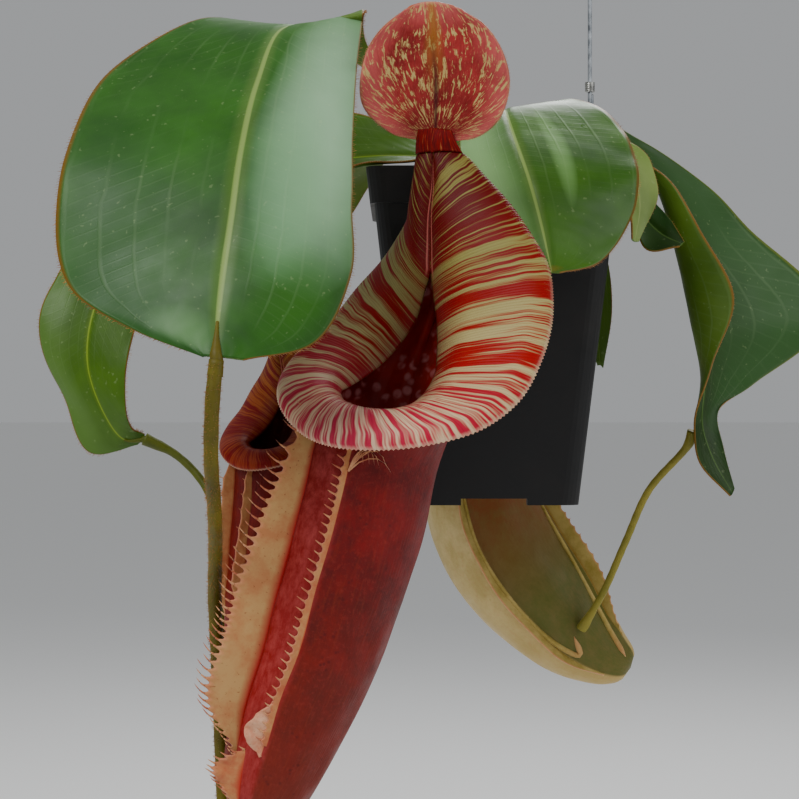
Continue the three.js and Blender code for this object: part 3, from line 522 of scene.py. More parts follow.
def lid_look(name, red, dark, fleck, edge, flecks=0.53):
    """The lid: red with yellow flecks that spread from its base, a dark middle and a broad pale margin."""
    look = Look(name, Sheen_Weight=0.1, Sheen_Roughness=0.5, Roughness=0.55, Specular_IOR_Level=0.25)
    u, v = look.uv()
    out = v - 0.5
    side, angle = out.size(), out / (u + 0.16)
    foot = (u + side * 0.9).step(0.62, 0.12)
    pale = side.ramp((0.22, 0.0), (0.5, 1.0)).most(u.ramp((0.72, 0.0), (1.0, 0.9)))
    wash = ((look.noise(60, 4, 0.7) - 0.5) * 0.9 + pale).step(0.2, 0.85)
    fine = look.drawn(u * 22.0, angle * 90.0, rough=0.6)
    streaks = look.drawn(u * 12.0, angle * 28.0, 0, 4, 0.7, 0.6)
    raised = (look.noise(150, 3, 0.7) - 0.5) * 0.35 + streaks
    crest, median = side.step(0.09, 0.02) * u.step(0.4, 0.75), side.step(0.03, 0.006) * u.step(0.8, 0.45)
    rays = (angle * 60.0).sine().step(0.75, 1.0)
    rim = side.step(0.484, 0.497).most(u.step(0.975, 0.995))
    color = look.noise(80, 4, 0.7).ramp((0.35, dark), (0.62, red)).under(
        (foot * 0.75, dark), (wash * 0.8, edge), (fine.step(0.55, 0.7) * 0.25, (196, 112, 100)),
        (raised.step(flecks, flecks + 0.05) * 0.9, fleck), (crest * 0.6, (150, 112, 52)),
        (median * 0.85, (64, 12, 14)), (rays * 0.15, (80, 16, 14)), (rim * 0.6, (196, 136, 118)))
    return look.done(color, (fine, 0.0004, 0.5), (streaks, 0.0005, 0.5))


def skin_look(name, deep, light, scale, fuzz, rough=0.55):
    """Plain plant skin with soft patches and a fuzzy sheen, for tendrils, stem and young leaf."""
    look = Look(name, Sheen_Weight=0.25, Sheen_Roughness=0.4, Specular_IOR_Level=0.3, Sheen_Tint=fuzz)
    clouds = look.noise(scale, 4, 0.6)
    return look.done(clouds.ramp((0.35, deep), (0.65, light)), (look.noise(scale * 6, 3), 0.0002, 0.5),
                     rough=clouds.ramp((0.3, rough - 0.1), (0.7, rough + 0.1)))


def collar_look(name, deep, red, cream):
    """The fold under the lid: crimson with upright streaks, as on the rim's neck below it."""
    look = Look(name, Roughness=0.6, Specular_IOR_Level=0.14)
    u, v = look.uv()
    streaks = look.drawn(u * 26.0, v * 1.2, rough=0.6)
    color = streaks.ramp((0.35, deep), (0.6, red)).under((streaks.step(0.6, 0.68) * 0.7, cream))
    return look.done(color, (streaks, 0.0004, 0.5))


def thread_look(name, color, tip):
    """Fine hairs: a little colour change from thread to thread."""
    look = Look(name, Roughness=0.5, Sheen_Weight=0.15)
    return look.done(look.noise(150, 1).ramp((0.4, color), (0.6, tip)))


def plastic_look():
    """Black moulded plastic with fine scuffs and a little dust."""
    look = Look("pot_plastic", Specular_IOR_Level=0.3)
    scuffs = look.noise(70, 5, 0.7)
    dust = look.noise(16, 4).step(0.55, 0.9)
    color = scuffs.ramp((0.4, (9, 9, 10)), (0.75, (20, 20, 20))).under((dust * 0.3, (56, 52, 46)))
    return look.done(color, (look.noise(700, 2), 0.00008, 0.5), rough=scuffs.ramp((0.3, 0.36), (0.7, 0.58)))


def metal_look(name, bright, dull, rough):
    """Galvanised or crimped metal with a faint bloom."""
    look = Look(name, Metallic=1.0)
    bloom = look.noise(240, 3)
    return look.done(bloom.ramp((0.35, dull), (0.65, bright)),
                     rough=bloom.ramp((0.3, rough), (0.7, rough + 0.2)))


def crumb_look(name, dark, light, scale=120):
    """Bark, grit or moss, each with its own grain."""
    look = Look(name, Roughness=0.9)
    grain = look.noise(scale, 5, 0.7)
    return look.done(grain.ramp((0.35, dark), (0.7, light)), (grain, 0.0008, 0.7))


# ---------------------------------------------------------------- the plant's lines
SEAM = [(-25, -101, -7), (-25, -103, -17), (-26, -105, -29), (-26, -107, -40), (-26, -109, -48)]
INNER_EDGE = SEAM + [
    (-25, -112, -58), (-24, -117, -67), (-24, -124, -76), (-25, -131, -85), (-29, -137, -92),
    (-35, -142, -97), (-42, -144, -99), (-48, -143, -98), (-53, -140, -96), (-56, -136, -94),
    (-57, -131, -91), (-54, -125, -89), (-48, -119, -85), (-42, -114, -80), (-36, -110, -73),
    (-31, -108, -65), (-28, -108, -55)] + SEAM[:0:-1]
OUTER_EDGE = [
    (-24, -99, -1), (-14, -102, -5), (-7, -107, -13), (1, -114, -23), (7, -121, -33), (13, -129, -45),
    (14, -137, -56), (13, -144, -67), (9, -151, -79), (2, -158, -91), (-10, -163, -100),
    (-27, -166, -105), (-45, -164, -107), (-61, -156, -106), (-71, -146, -102), (-78, -135, -94),
    (-80, -112, -84), (-74, -97, -74), (-64, -86, -64), (-54, -80, -51), (-45, -79, -41),
    (-39, -82, -33), (-34, -86, -24), (-33, -91, -17), (-32, -95, -10), (-31, -98, -5)]
STATIONS = len(INNER_EDGE)
SEAM_STATIONS = len(SEAM) - 1
NECK_MARGIN = 3  # stations before the seam where the neck begins

LID = {
    "midrib": [(-24, -99.8, -0.2), (-24, -102.4, 4.5), (-24, -106, 12), (-24, -110, 21), (-25, -114, 30),
               (-25, -117, 38), (-26, -119.3, 46.3)],
    "left": [(-28.5, -99.8, -0.5), (-40, -107, 1.5), (-49, -111, 9), (-51, -114, 18), (-49, -117, 28),
             (-43, -119, 37), (-35, -120, 43.5)],
    "right": [(-20.5, -99.7, -0.8), (-9, -104, 0.5), (-1, -108, 7), (2, -112, 18), (0, -116, 28),
              (-7, -119, 38), (-15.5, -120, 43.5)],
}

MAIN_AXIS = [(-48.5, -125, -116), (-51.7, -125, -131), (-56, -126, -147), (-61.2, -127, -164),
             (-66.4, -128, -181), (-73, -129, -198), (-79, -130, -215), (-84.5, -131, -230),
             (-89.5, -132, -241)]
MAIN_LEVELS = [(0, 24.8), (0.2, 24.7), (0.38, 23.8), (0.54, 22.2), (0.7, 19.8), (0.83, 16.4),
               (0.92, 12.4), (0.98, 7), (1, 2.6)]
MAIN_FRONT = Vector((-0.755, -0.656, 0))
BACK_AXIS = [(-3, 96, -124), (1, 93, -143), (11, 89, -163), (25, 85, -181), (39, 82, -196),
             (53, 80, -206), (65, 79, -212)]
BACK_LEVELS = [(0, 22), (0.14, 25.5), (0.3, 27), (0.48, 25.5), (0.66, 21), (0.8, 16), (0.92, 11),
               (0.98, 7), (1, 2.6)]
BACK_FRONT = Vector((0.485, -0.875, 0))
SMALL_SIZE, BACK_SIZE = 0.52, 0.8
LEFT_WING_AT, RIGHT_WING_AT = 0, 36  # degrees off the front pitcher's front
SHOULDER = 0.12  # how far a wing may run up past the body's top ring, as a share of the axis
WALL_SHARE = 0.16  # the part of a cup's height that its shoulder under the rim takes
WING_SUNK = 0.75  # how deep a wing's root sits in the cup's wall

TENDRILS = {
    "tendril_main": [
        (-95.8, -187.2, -81), (-97, -188, -94), (-98, -182, -112), (-98.5, -162, -131), (-100, -141, -146),
        (-101.5, -125, -163), (-101, -119, -186), (-100, -118, -212), (-99, -119, -235), (-97.5, -125, -251),
        (-92.6, -131.6, -249.4), (-89.75, -132.05, -241.6)],
    "tendril_left": [
        (-135.1, -45.8, -108.9), (-123, -46, -115), (-112, -50, -126), (-104.6, -60, -143),
        (-102.8, -72, -165), (-102.8, -80, -186), (-100, -84, -197), (-97.2, -84.5, -196)],
    "tendril_right": [
        (86, 30, -107), (84, 32, -113), (69, 42, -132), (60, 50, -154), (51, 55, -176), (45, 57, -187),
        (41.7, 59.8, -192.8)],
}
SPEAR = [(0, 0, STEM_TOP + STEM_DOME + FIT_GAP), (-1, 2, 24), (-3, 4, 38), (-4, 6, 50)]


def on_stem(angle, rise, blade, reach=8, half=3.4):
    """A leaf's lines with the two narrow stations of its stalk put before its blade's."""
    out = Vector((math.cos(math.radians(angle)), math.sin(math.radians(angle))))

    def at(distance, side, height):
        return (out.x * distance - out.y * side, out.y * distance + out.x * side, height)

    near = STEM_RADIUS + FIT_GAP + 0.1
    far = near + reach
    lifted = rise + reach * 0.4
    return {
        "midrib": [at(near, 0, rise), at(far, 0, lifted)] + blade["midrib"],
        "left": [at(near, half, rise + 1.5), at(far, half * 1.1, lifted + 2)] + blade["left"],
        "right": [at(near, -half, rise + 1.5), at(far, -half * 1.1, lifted + 2)] + blade["right"],
        "waves": blade.get("waves", 0), "turns": blade.get("turns", 4),
    }


LEAVES = {
    "leaf_front": on_stem(232, 5, {
        "midrib": [(-33, -46, 24), (-53, -66, 34), (-67, -80, 43), (-79, -92, 42), (-87, -120, 18),
                   (-91, -145, -9), (-93, -163, -34), (-95, -175, -55), (-96, -182, -70), (-96, -187, -80)],
        "right": [(-36, -42, 26), (-58, -61, 37), (-84, -63, 46), (-112, -85, 46), (-142, -106, 22),
                  (-152, -135, -11), (-153, -150, -38), (-146, -163, -57), (-124, -176, -71),
                  (-100, -186, -80)],
        "left": [(-29, -50, 26), (-48, -71, 37), (-50, -95, 47), (-50, -88, 48), (-52, -113, 23),
                 (-53, -138, -3), (-53, -155, -28), (-53, -168, -53), (-64, -179, -75), (-87, -187, -81)],
        "waves": 1, "turns": 3}),
    "leaf_right": on_stem(300, 1, {
        "midrib": [(4, -30, 20), (7, -50, 7), (12, -67, -12), (16, -76, -30), (18, -80, -41),
                   (19, -83, -47)],
        "right": [(-9, -36, 18), (-14, -58, 1), (-8, -71, -21), (0, -78, -36), (10, -81, -44),
                  (16, -83, -47)],
        "left": [(29, -14, 26), (48, -32, 14), (54, -50, -4), (51, -61, -24), (37, -75, -43),
                 (22, -83, -47)],
        "waves": 0.8}),
    "leaf_left": on_stem(192, 0, {
        "midrib": [(-34, -12, 4), (-57, -22, 2), (-95, -32, -6), (-134, -40, -28), (-153, -45, -54),
                   (-157, -48, -79), (-150, -48, -100), (-143, -46, -109), (-136, -45, -109)],
        "right": [(-34, -4, 14), (-57, -10, 20), (-100, -14, 15), (-151, -24, -14), (-171, -34, -48),
                  (-176, -40, -69), (-167, -42, -94), (-157, -42, -114), (-138, -44, -111)],
        "left": [(-33, -18, 0), (-56, -30, -2), (-89, -42, -24), (-120, -48, -46), (-136, -51, -61),
                 (-142, -55, -82), (-141, -52, -98), (-139, -48, -105), (-135, -46, -107)],
        "waves": 2.5, "turns": 3}, reach=6),
    "leaf_far_right": on_stem(30, 5, {
        "midrib": [(26, 15, 15), (46, 18, 14), (60, 20, 8), (71, 22, -6), (80, 25, -33), (88, 28, -63),
                   (91, 30, -86), (90, 30, -104), (94, 29, -118), (102, 27, -133)],
        "left": [(25, 19, 18), (46, 26, 22), (64, 29, 14), (93, 42, -2), (114, 54, -20), (149, 60, -57),
                 (114, 50, -87), (97, 36, -99), (99, 31, -114), (103, 28, -131)],
        "right": [(27, 11, 16), (46, 11, 8), (62, 11, 4), (74, 8, -6), (84, 2, -24), (99, 0, -52),
                  (92, 12, -80), (86, 24, -104), (88, 24, -120), (101, 26, -134)],
        "waves": 1, "turns": 2}, half=3),
    "leaf_behind_pot": on_stem(66, -2, {
        "midrib": [(12, 26, 8), (24, 48, 9), (34, 60, -8), (43, 63, -34), (48, 63, -58), (50, 60, -79)],
        "left": [(8, 27, 9), (15, 50, 8), (22, 62, -10), (33, 66, -36), (42, 65, -60), (49, 61, -79)],
        "right": [(16, 25, 9), (33, 45, 9), (45, 57, -8), (53, 60, -34), (55, 61, -56), (51, 60, -80)],
        "waves": 1}, half=2.6),
    "leaf_back": on_stem(130, 3, {
        "midrib": [(-20, 24, 13), (-42, 48, 17), (-62, 72, 7), (-78, 92, -16), (-88, 104, -42)],
        "left": [(-26, 19, 16), (-56, 37, 19), (-80, 56, 8), (-93, 79, -17), (-91, 102, -43)],
        "right": [(-14, 29, 16), (-28, 59, 20), (-44, 87, 10), (-63, 105, -14), (-86, 106, -43)],
        "waves": 1.5, "turns": 3}),
    "leaf_folded": on_stem(344, 6, {
        "midrib": [(28, -6, 13), (44, -5, 10), (56, -8, 1), (59, -14, -15), (56, -20, -31)],
        "left": [(28, -1, 15), (46, 4, 15), (63, 0, 5), (67, -8, -10), (58, -18, -31)],
        "right": [(28, -10, 14), (43, -14, 13), (54, -22, 3), (54, -25, -14), (55, -22, -30)],
        "waves": 0.8}, half=2.2),
    "leaf_small": on_stem(6, -4, {
        "midrib": [(26, 4, 3), (48, 9, 3), (59, 7, -14), (69, 2, -26), (77, -4, -31)],
        "left": [(26, 7, 4), (49, 14, 5), (64, 11, -9), (73, 4, -20), (78, -4, -30)],
        "right": [(26, 1, 4), (47, 5, 3.5), (57, 2, -16), (63, -3, -33), (76, -5, -32)],
        "waves": 0.5}, half=2),
}


# ---------------------------------------------------------------- leaves
class Blade:
    """A leaf's blade between its midrib and its two edges: at(u, v), v running from edge to edge."""

    def __init__(self, leaf, groove=0.9):
        self.middle, self.near, self.far = (Line(leaf[key]) for key in ("midrib", "left", "right"))
        self.waves, self.turns, self.groove = leaf.get("waves", 0), leaf.get("turns", 4), groove
        self.stations = {}

    def station(self, s):
        if s not in self.stations:
            m, a, b = (line.at(s) for line in (self.middle, self.near, self.far))
            half = (b - a) * 0.5
            face = half.cross(self.middle.tangent(s)).normalized()
            self.stations[s] = (m, half, (a + b) * 0.5 - m, face)
        return self.stations[s]

    def at(self, u, v):
        m, half, bow, face = self.station(u)
        side = 2 * v - 1
        swell = math.sin(math.pi * u)
        lift = self.waves * swell * side * side * math.sin(math.tau * self.turns * u + 2 * side)
        width = half.length
        groove = self.groove * swell * bell(side * width, 1.5) if width else 0
        return m + half * side + bow * (side * side) + face * (lift - groove)

    def face(self, u):
        return self.station(u)[3]


def edge_hairs(blade, count, length, seed, from_u=0.06, to_u=0.98):
    """Short hairs along both edges of a blade, as the tan fringe of a leaf."""
    rng = random.Random(seed)
    paths = []
    for n in range(count):
        u = mix(from_u, to_u, (n + rng.random()) / count)
        v = n % 2
        edge, inner = blade.at(u, v), blade.at(u, 0.96 if v else 0.04)
        out = (edge - inner).normalized()
        along = (blade.at(min(1, u + 0.01), v) - edge).normalized()
        way = out + along * 0.6 * rng.uniform(0.2, 1.2) + blade.face(u) * rng.uniform(-0.5, 0.5)
        way = way.normalized()
        size = length * rng.uniform(0.6, 1.2)
        paths.append([edge - way * HAIR_GRIP, edge + way * size * 0.6, edge + way * size])
    return paths


def leaf_relief(ripple):
    """Low swells between the cross veins and a fine ripple along the edges."""
    def relief(u, v):
        out = abs(2 * v - 1)
        swell = 0.16 * math.sin(u * 150 - out * 22) * out * (1 - out)
        edge = ripple * smooth((out - 0.8) / 0.2) * math.sin(u * 61 + 3 * v) * math.sin(math.pi * u)
        return swell + edge
    return relief


def make_leaf(name, looks, columns, rows, hairs, hair_size, ripple):
    """A leaf's blade and the tan fringe along its edges."""
    blade = Blade(LEAVES[name])
    work = spread(columns, rows, blade.at, leaf_relief(ripple))
    piece(name + "_blade", work, looks, [name], BLADE)
    work = strands(edge_hairs(blade, hairs, hair_size, name), 0.11, 0.03)
    piece(name + "_fringe", work, [TAN_HAIR])


# ---------------------------------------------------------------- pitchers
class Mouth:
    """The mouth's two edges, and the rim's section at any station between them."""

    def __init__(self, place, size):
        self.inner = Line([place @ Vector(p) for p in INNER_EDGE], True)
        self.outer = Line([place @ Vector(p) for p in OUTER_EDGE], True)
        self.size = size
        self.sections = {}

    def section(self, station):
        wrapped = round(station % STATIONS, 6)
        if wrapped in self.sections:
            return self.sections[wrapped]
        mirrored = wrapped > STATIONS - SEAM_STATIONS
        start = self.inner.at((STATIONS - wrapped if mirrored else wrapped) / STATIONS)
        end = self.outer.at(wrapped / STATIONS)

        def middle(t):
            turn = (t / STATIONS) % 1
            return self.inner.at(turn).lerp(self.outer.at(turn), 0.6)

        around = middle(wrapped + 0.6) - middle(wrapped - 0.6)
        across = end - start
        out = around.cross(across).normalized()
        neck = min(1, min(wrapped, STATIONS - wrapped) / SEAM_STATIONS)
        height, roll = (self.size * mix(*span, smooth(neck)) for span in (RIM_RISE, RIM_ROLL))
        found = (start, start + across * 0.22 + out * height, end + out * (height * 0.45), end - out * roll)
        self.sections[wrapped] = (found, out)
        return self.sections[wrapped]

    def at(self, station, share):
        return bezier(*self.section(station)[0], share)

    def seat(self, station, inset):
        """The point and normal where the cup's wall ends under the rim."""
        points, out = self.section(station)
        length = sum((bezier(*points, (k + 1) / 12) - bezier(*points, k / 12)).length for k in range(12))
        share = RIM_SEAT - inset * 0.9 / length
        around = self.at(station + 0.3, share) - self.at(station - 0.3, share)
        across = bezier(*points, share + 0.01) - bezier(*points, share - 0.01)
        normal = around.cross(across).normalized()
        if normal.dot(out) < 0:
            normal.negate()
        return self.at(station, share) - normal * (RIM_THICKNESS + RIM_CLEARANCE), normal


def make_rim(name, mouth, look, under, ribs, rows, rib_height, tooth):
    """The rim as a fine ribbed skin over its sections, with a toothed outer edge."""
    def at(u, v):
        turn = (u * STATIONS) % STATIONS
        point = mouth.at(turn, v)
        if v > RIM_TEETH_FROM:
            along = (mouth.at(turn, 1) - mouth.at(turn, RIM_TEETH_FROM)).normalized()
            wave = math.sin(math.pi * u * STATIONS * ribs) ** 2
            point = point + along * (tooth * (v - RIM_TEETH_FROM) / (1 - RIM_TEETH_FROM) * (wave - 0.5))
        return point

    def relief(u, v):
        rib = 1 - abs(math.cos(math.pi * u * STATIONS * ribs)) ** 1.4
        from_seam = min(u, 1 - u) * STATIONS
        sink = smooth(v / 0.1) * smooth(from_seam / 0.8 + 0.2)
        return mouth.size * rib_height * (rib - 0.4) * sink

    work = spread(STATIONS * ribs * 4, rows, at, relief, wrap=True)
    piece(name + "_ribs", work, [look, under], [name], RIM_THICKNESS - 0.3, -1.0)


class Cup:
    """A pitcher's cup: its wall under the rim, and its body down to the foot."""

    def __init__(self, mouth, axis, levels, front):
        self.mouth, self.line, self.levels, self.front = mouth, Line(axis), levels, front
        self.walls = {}

    def radius(self, s):
        """A smooth line through the levels of the axis."""
        k = 1
        while k < len(self.levels) - 1 and self.levels[k][0] < s:
            k += 1
        (a, ra), (b, rb) = self.levels[k - 1], self.levels[k]
        before = self.levels[max(k - 2, 0)]
        after = self.levels[min(k + 1, len(self.levels) - 1)]
        leave = (rb - before[1]) / ((b - before[0]) or 1) * (b - a)
        arrive = (after[1] - ra) / ((after[0] - a) or 1) * (b - a)
        curve = hermite(ra, rb, leave, arrive, clamp((s - a) / (b - a)))
        return min(max(curve, min(ra, rb) - 0.1), max(ra, rb) + 0.3)

    def ring(self, s, inset=0.0):
        centre = self.line.at(s)
        up = -self.line.tangent(s)
        front = (self.front - up * self.front.dot(up)).normalized()
        side = up.cross(front)
        return centre, up, front, side, self.radius(s) - inset

    def around(self, s, angle, inset=0.0):
        centre, _, front, side, radius = self.ring(s, inset)
        return centre + front * (radius * math.cos(angle)) + side * (radius * math.sin(angle))

    def spread_angles(self, raw):
        """The stations' angles, spread evenly over the neck, where the mouth's two sides meet."""
        start = STATIONS - SEAM_STATIONS - NECK_MARGIN
        steps = 2 * SEAM_STATIONS + NECK_MARGIN
        turn = raw[SEAM_STATIONS] - raw[start] - math.tau
        span = turn + math.tau if turn < -math.tau else turn
        angles = list(raw)
        for k in range(1, steps):
            angles[(start + k) % STATIONS] = raw[start] + span * k / steps
        return angles

    def station_walls(self, inset):
        """For every station, its angle round the axis and its point and normal under the rim."""
        if inset not in self.walls:
            seats = [self.mouth.seat(n, inset) for n in range(STATIONS)]
            centre, _, front, side, _ = self.ring(0, inset)
            raw = [math.atan2((p - centre).dot(side), (p - centre).dot(front)) for p, _ in seats]
            angles = self.spread_angles(raw)
            steps = [(angles[(n + 1) % STATIONS] - angles[n] + math.pi) % (math.tau) - math.pi
                     for n in range(STATIONS)]
            run = [angles[0]]
            for step in steps:
                run.append(run[-1] + step)
            self.walls[inset] = (seats, run)
        return self.walls[inset]

    def wall(self, u, inset):
        seats, run = self.station_walls(inset)
        place = (u * STATIONS) % STATIONS
        n, w = int(place), place - int(place)
        angle = mix(run[n], run[n + 1], w)
        (p, a), (q, b) = seats[n], seats[(n + 1) % STATIONS]
        return angle, p.lerp(q, w), a.lerp(b, w).normalized()

    def turn_of(self, degrees):
        """How far round the mouth, 0 to 1, the wall stands that faces this many degrees off the front."""
        run = self.station_walls(0.0)[1]
        for n, (a, b) in enumerate(zip(run, run[1:])):
            for whole in (-1, 0, 1):
                goal = math.radians(degrees) + whole * math.tau
                if min(a, b) <= goal < max(a, b):
                    return (n + (goal - a) / (b - a)) / STATIONS
        return 0.5

    def at(self, u, v, inset=0.0):
        """v runs from the rim's underside (0) over the shoulder (WALL_SHARE) down to the foot (1)."""
        angle, point, normal = self.wall(u if u < 1 else 0.0, inset)
        if v >= WALL_SHARE:
            s = (v - WALL_SHARE) / (1 - WALL_SHARE)
            return self.line.at(1) if s >= 1 else self.around(s, angle, inset)
        foot = self.around(0, angle, inset)
        reach = (foot - point).length / 3
        up = self.ring(0)[1]
        return bezier(foot, foot + up * reach, point - normal * reach, point, 1 - v / WALL_SHARE)


def hermite(a, b, leave, arrive, t):
    """From a to b with these slopes at the two ends."""
    return (a * (2 * t ** 3 - 3 * t * t + 1) + leave * (t ** 3 - 2 * t * t + t)
            + b * (3 * t * t - 2 * t ** 3) + arrive * (t ** 3 - t * t))


def spline_width(widths, t):
    """A wing's width at t, from 0 at its top to 1 at its lower end."""
    place = clamp(t) * (len(widths) - 1)
    k = min(int(place), len(widths) - 2)
    a, b, c, d = (widths[min(max(k + n, 0), len(widths) - 1)][1] for n in (-1, 0, 1, 2))
    return hermite(b, c, (c - a) * 0.5, (d - b) * 0.5, place - k)


class Wing:
    """A wing down the front of a cup: its root on the wall, its free edge and the hairs along it.

    widths holds (share of the axis, millimetres) at even steps; shares under 0 lie on the shoulder.
    crowd sets how much closer its hairs stand towards its lower end."""

    def __init__(self, cup, at, lean, widths, hairs=0, crowd=0.0):
        self.cup, self.angle, self.lean, self.widths = cup, math.radians(at), math.radians(at + lean), widths
        self.start, self.stop = widths[0][0], widths[-1][0]
        self.turn = cup.turn_of(at)
        self.hairs, self.crowd = hairs, crowd

    def edge(self, t):
        s = mix(self.start, self.stop, t)
        _, up, front, side, _ = self.cup.ring(max(s, 0))
        if s < 0:
            root = self.cup.at(self.turn, WALL_SHARE * max(0.0, 1 + s / SHOULDER), WING_SUNK)
        else:
            root = self.cup.around(s, self.angle, WING_SUNK)
        out = front * math.cos(self.lean) + side * math.sin(self.lean)
        return root, out, up, spline_width(self.widths, t) + WING_SUNK

    def phase(self, t):
        return self.hairs * mix(t, t * t, self.crowd)

    def hair_at(self, n):
        share, even = (n + 0.5) / self.hairs, 1 - self.crowd
        if self.crowd == 0:
            return share
        return (math.sqrt(even * even + 4 * self.crowd * share) - even) / (2 * self.crowd)


def wing_sheet(wing, depth, flare):
    """The wing's skin, its edge hollowed in rounded bites between the hairs and flared a little sideways."""
    def at(u, v):
        root, out, up, reach = wing.edge(u)
        bite = 1 - math.sin(math.pi * wing.phase(u)) ** 4 if wing.hairs else 0
        hollow = min(depth, reach * 0.4) * bite * v * v
        sway = flare * v * v * math.sin(u * 23) * (0.4 + 0.6 * v)
        side = out.cross(up).normalized()
        return root + out * (reach * v - hollow) + side * sway
    return at


def wing_hairs(wing, length, curl, seed, rise=0.45, shorter=0.4):
    """A filament on every point of a wing's free edge, bent upwards and shorter towards its lower end."""
    rng = random.Random(seed)
    paths = []
    for n in range(wing.hairs):
        t = wing.hair_at(n)
        root, out, up, reach = wing.edge(t)
        side = out.cross(up).normalized() * rng.uniform(-0.35, 0.35)
        size = length * rng.uniform(0.75, 1.15) * mix(1, 1 - shorter, t)
        foot = root + out * (reach - 0.6)
        path = [foot]
        for k in range(1, 6):
            share = k / 5
            path.append(foot + (out + side * share) * (size * share) + up * (size * rise * share ** curl))
        paths.append(path)
    return paths


def stray_hairs(cup, at, seed):
    """A few long curved hairs that lie on the cup's shoulder beside the top of its right wing."""
    rng = random.Random(seed)
    paths = []
    for _ in range(6):
        span, low = rng.uniform(8, 34), rng.uniform(0.1, 0.14)
        path = []
        for k in range(6):
            share = k / 5
            turn = cup.turn_of(at + span * share)
            path.append(cup.at(turn, 0.18 - (0.18 - low) * math.sin(share * math.pi * 0.9), -0.5 - share))
        paths.append(path)
    return paths


def make_cup(name, cup, looks, columns, rows, relief=0.25):
    """A cup's wall, from the rim's underside to the foot, with low bumps."""
    def bumps(u, v):
        fade = smooth(v / 0.2) * smooth((1 - v) / 0.1)
        return relief * math.sin(u * math.tau * 9 + 5 * v) * math.sin(v * 26) * fade

    work = spread(columns, rows, cup.at, bumps, wrap=True)
    piece(name + "_skin", work, looks, [name], 1.2, -1.0)


def make_lid(name, place, look, under, hairs):
    blade = Blade({key: [place @ Vector(p) for p in line] for key, line in LID.items()})

    def crinkle(u, v):
        out = abs(2 * v - 1)
        fold = 0.25 * math.sin(u * 17 + v * 9) * math.sin(v * 21)
        edge = 0.7 * smooth((out - 0.6) / 0.4) * math.sin(u * 19 + 5 * v) * math.sin(math.pi * u)
        return fold + edge

    work = spread(60, 52, blade.at, crinkle)
    piece(name + "_blade", work, [under, look], [name], BLADE)
    paths = edge_hairs(blade, hairs, 0.8, name, 0.1, 0.97)
    piece(name + "_fringe", strands(paths, 0.09, 0.03), [PINK_HAIR])
    return blade


def make_collar(name, mouth, blade, look):
    """The short broad fold that joins the lid's base to the top of the rim's neck."""
    forward = mouth.at(STATIONS / 2, 0.5) - mouth.at(0, 0.5)
    forward = Vector((forward.x, forward.y, 0)).normalized() * mouth.size

    def at(u, v):
        side = 2 * u - 1
        low = mouth.at(side, 0.25 + 0.7 * abs(side))
        high = blade.at(0.14, 0.5 + side * 0.22)
        return low.lerp(high, v) + forward * (0.6 * math.sin(math.pi * v) + 0.45)

    piece(name, spread(24, 12, at), [look], [], 0.7)


# ---------------------------------------------------------------- pot, mix, stem, hanger
def merged_copy(node):
    """A copy of a solid with its doubled vertices joined, ready to be refined."""
    source = bpy.data.objects[node]
    work = bmesh.new()
    work.from_mesh(source.data)
    bmesh.ops.transform(work, matrix=source.matrix_world, verts=work.verts)
    bmesh.ops.remove_doubles(work, verts=work.verts, dist=1e-5)
    return outward(work)


def make_pot(look):
    made = piece("pot_shell", merged_copy("pot"), [look], ["pot"], flat=True)
    edge = made.modifiers.new("edge", "BEVEL")
    edge.affect, edge.segments, edge.profile, edge.material = "EDGES", 2, 0.5, -1
    edge.width = 0.45 * MM
    edge.limit_method, edge.angle_limit = "ANGLE", math.radians(28)


def mix_height(x, y):
    swell = 1.3 * math.sin(x * 0.31 + 1) * math.cos(y * 0.27)
    lumps = 0.8 * math.sin(x * 0.7 + y * 0.6)
    return SOIL_TOP - 0.6 + (swell + lumps) * 0.7


def pot_side(z):
    """The width of the pot's outside at a height."""
    return mix(POT_FOOT, POT_RIM - 2 * POT_LIP, (z - POT_BOTTOM) / (POT_TOP - POT_BOTTOM))


def inner_half(z):
    return pot_side(z) / 2 - POT_WALL - FIT_GAP


def squircle(angle, half, corner=5.4):
    """The point of a rounded square in the direction of an angle."""
    x, y = math.cos(angle), math.sin(angle)
    reach = half / max(abs(x), abs(y))
    px, py = abs(x * reach), abs(y * reach)
    inner = half - corner
    if px > inner and py > inner:
        b = x * x + y * y
        a = (abs(x) + abs(y)) * inner
        reach = (a + math.sqrt(a * a - b * (2 * inner * inner - corner * corner))) / b
    return x * reach, y * reach


def make_mix(look):
    """The mix's body: a rolling top inside the pot's wall and the sides and floor under it."""
    floor = POT_BOTTOM + 5 + FIT_GAP
    well = STEM_RADIUS + FIT_GAP
    top_ends, side_ends = 0.6, 0.9

    def at(u, v):
        angle = angle_of(u)
        if v < top_ends:
            share = v / top_ends
            x, y = squircle(angle, inner_half(SOIL_TOP))
            near = Vector((math.cos(angle), math.sin(angle))) * well
            x, y = mix(near.x, x, share), mix(near.y, y, share)
            fade = smooth(share / 0.1) * smooth((1 - share) / 0.05)
            lumps = 0.5 * math.sin(x * 1.9 + 2) * math.sin(y * 2.3) + 0.4 * math.sin(x * 3.7 - y * 2.9)
            return Vector((x, y, mix_height(x, y) + lumps * fade))
        if v <= side_ends:
            z = mix(SOIL_TOP - 1, floor, (v - top_ends) / (side_ends - top_ends))
            x, y = squircle(angle, inner_half(z))
            return Vector((x, y, z))
        share = 1 - (v - side_ends) / (1 - side_ends)
        x, y = squircle(angle, inner_half(floor))
        return Vector((x * share, y * share, floor))

    piece("mix_bed", outward(spread(180, 90, at)), [look], ["growing_mix"])


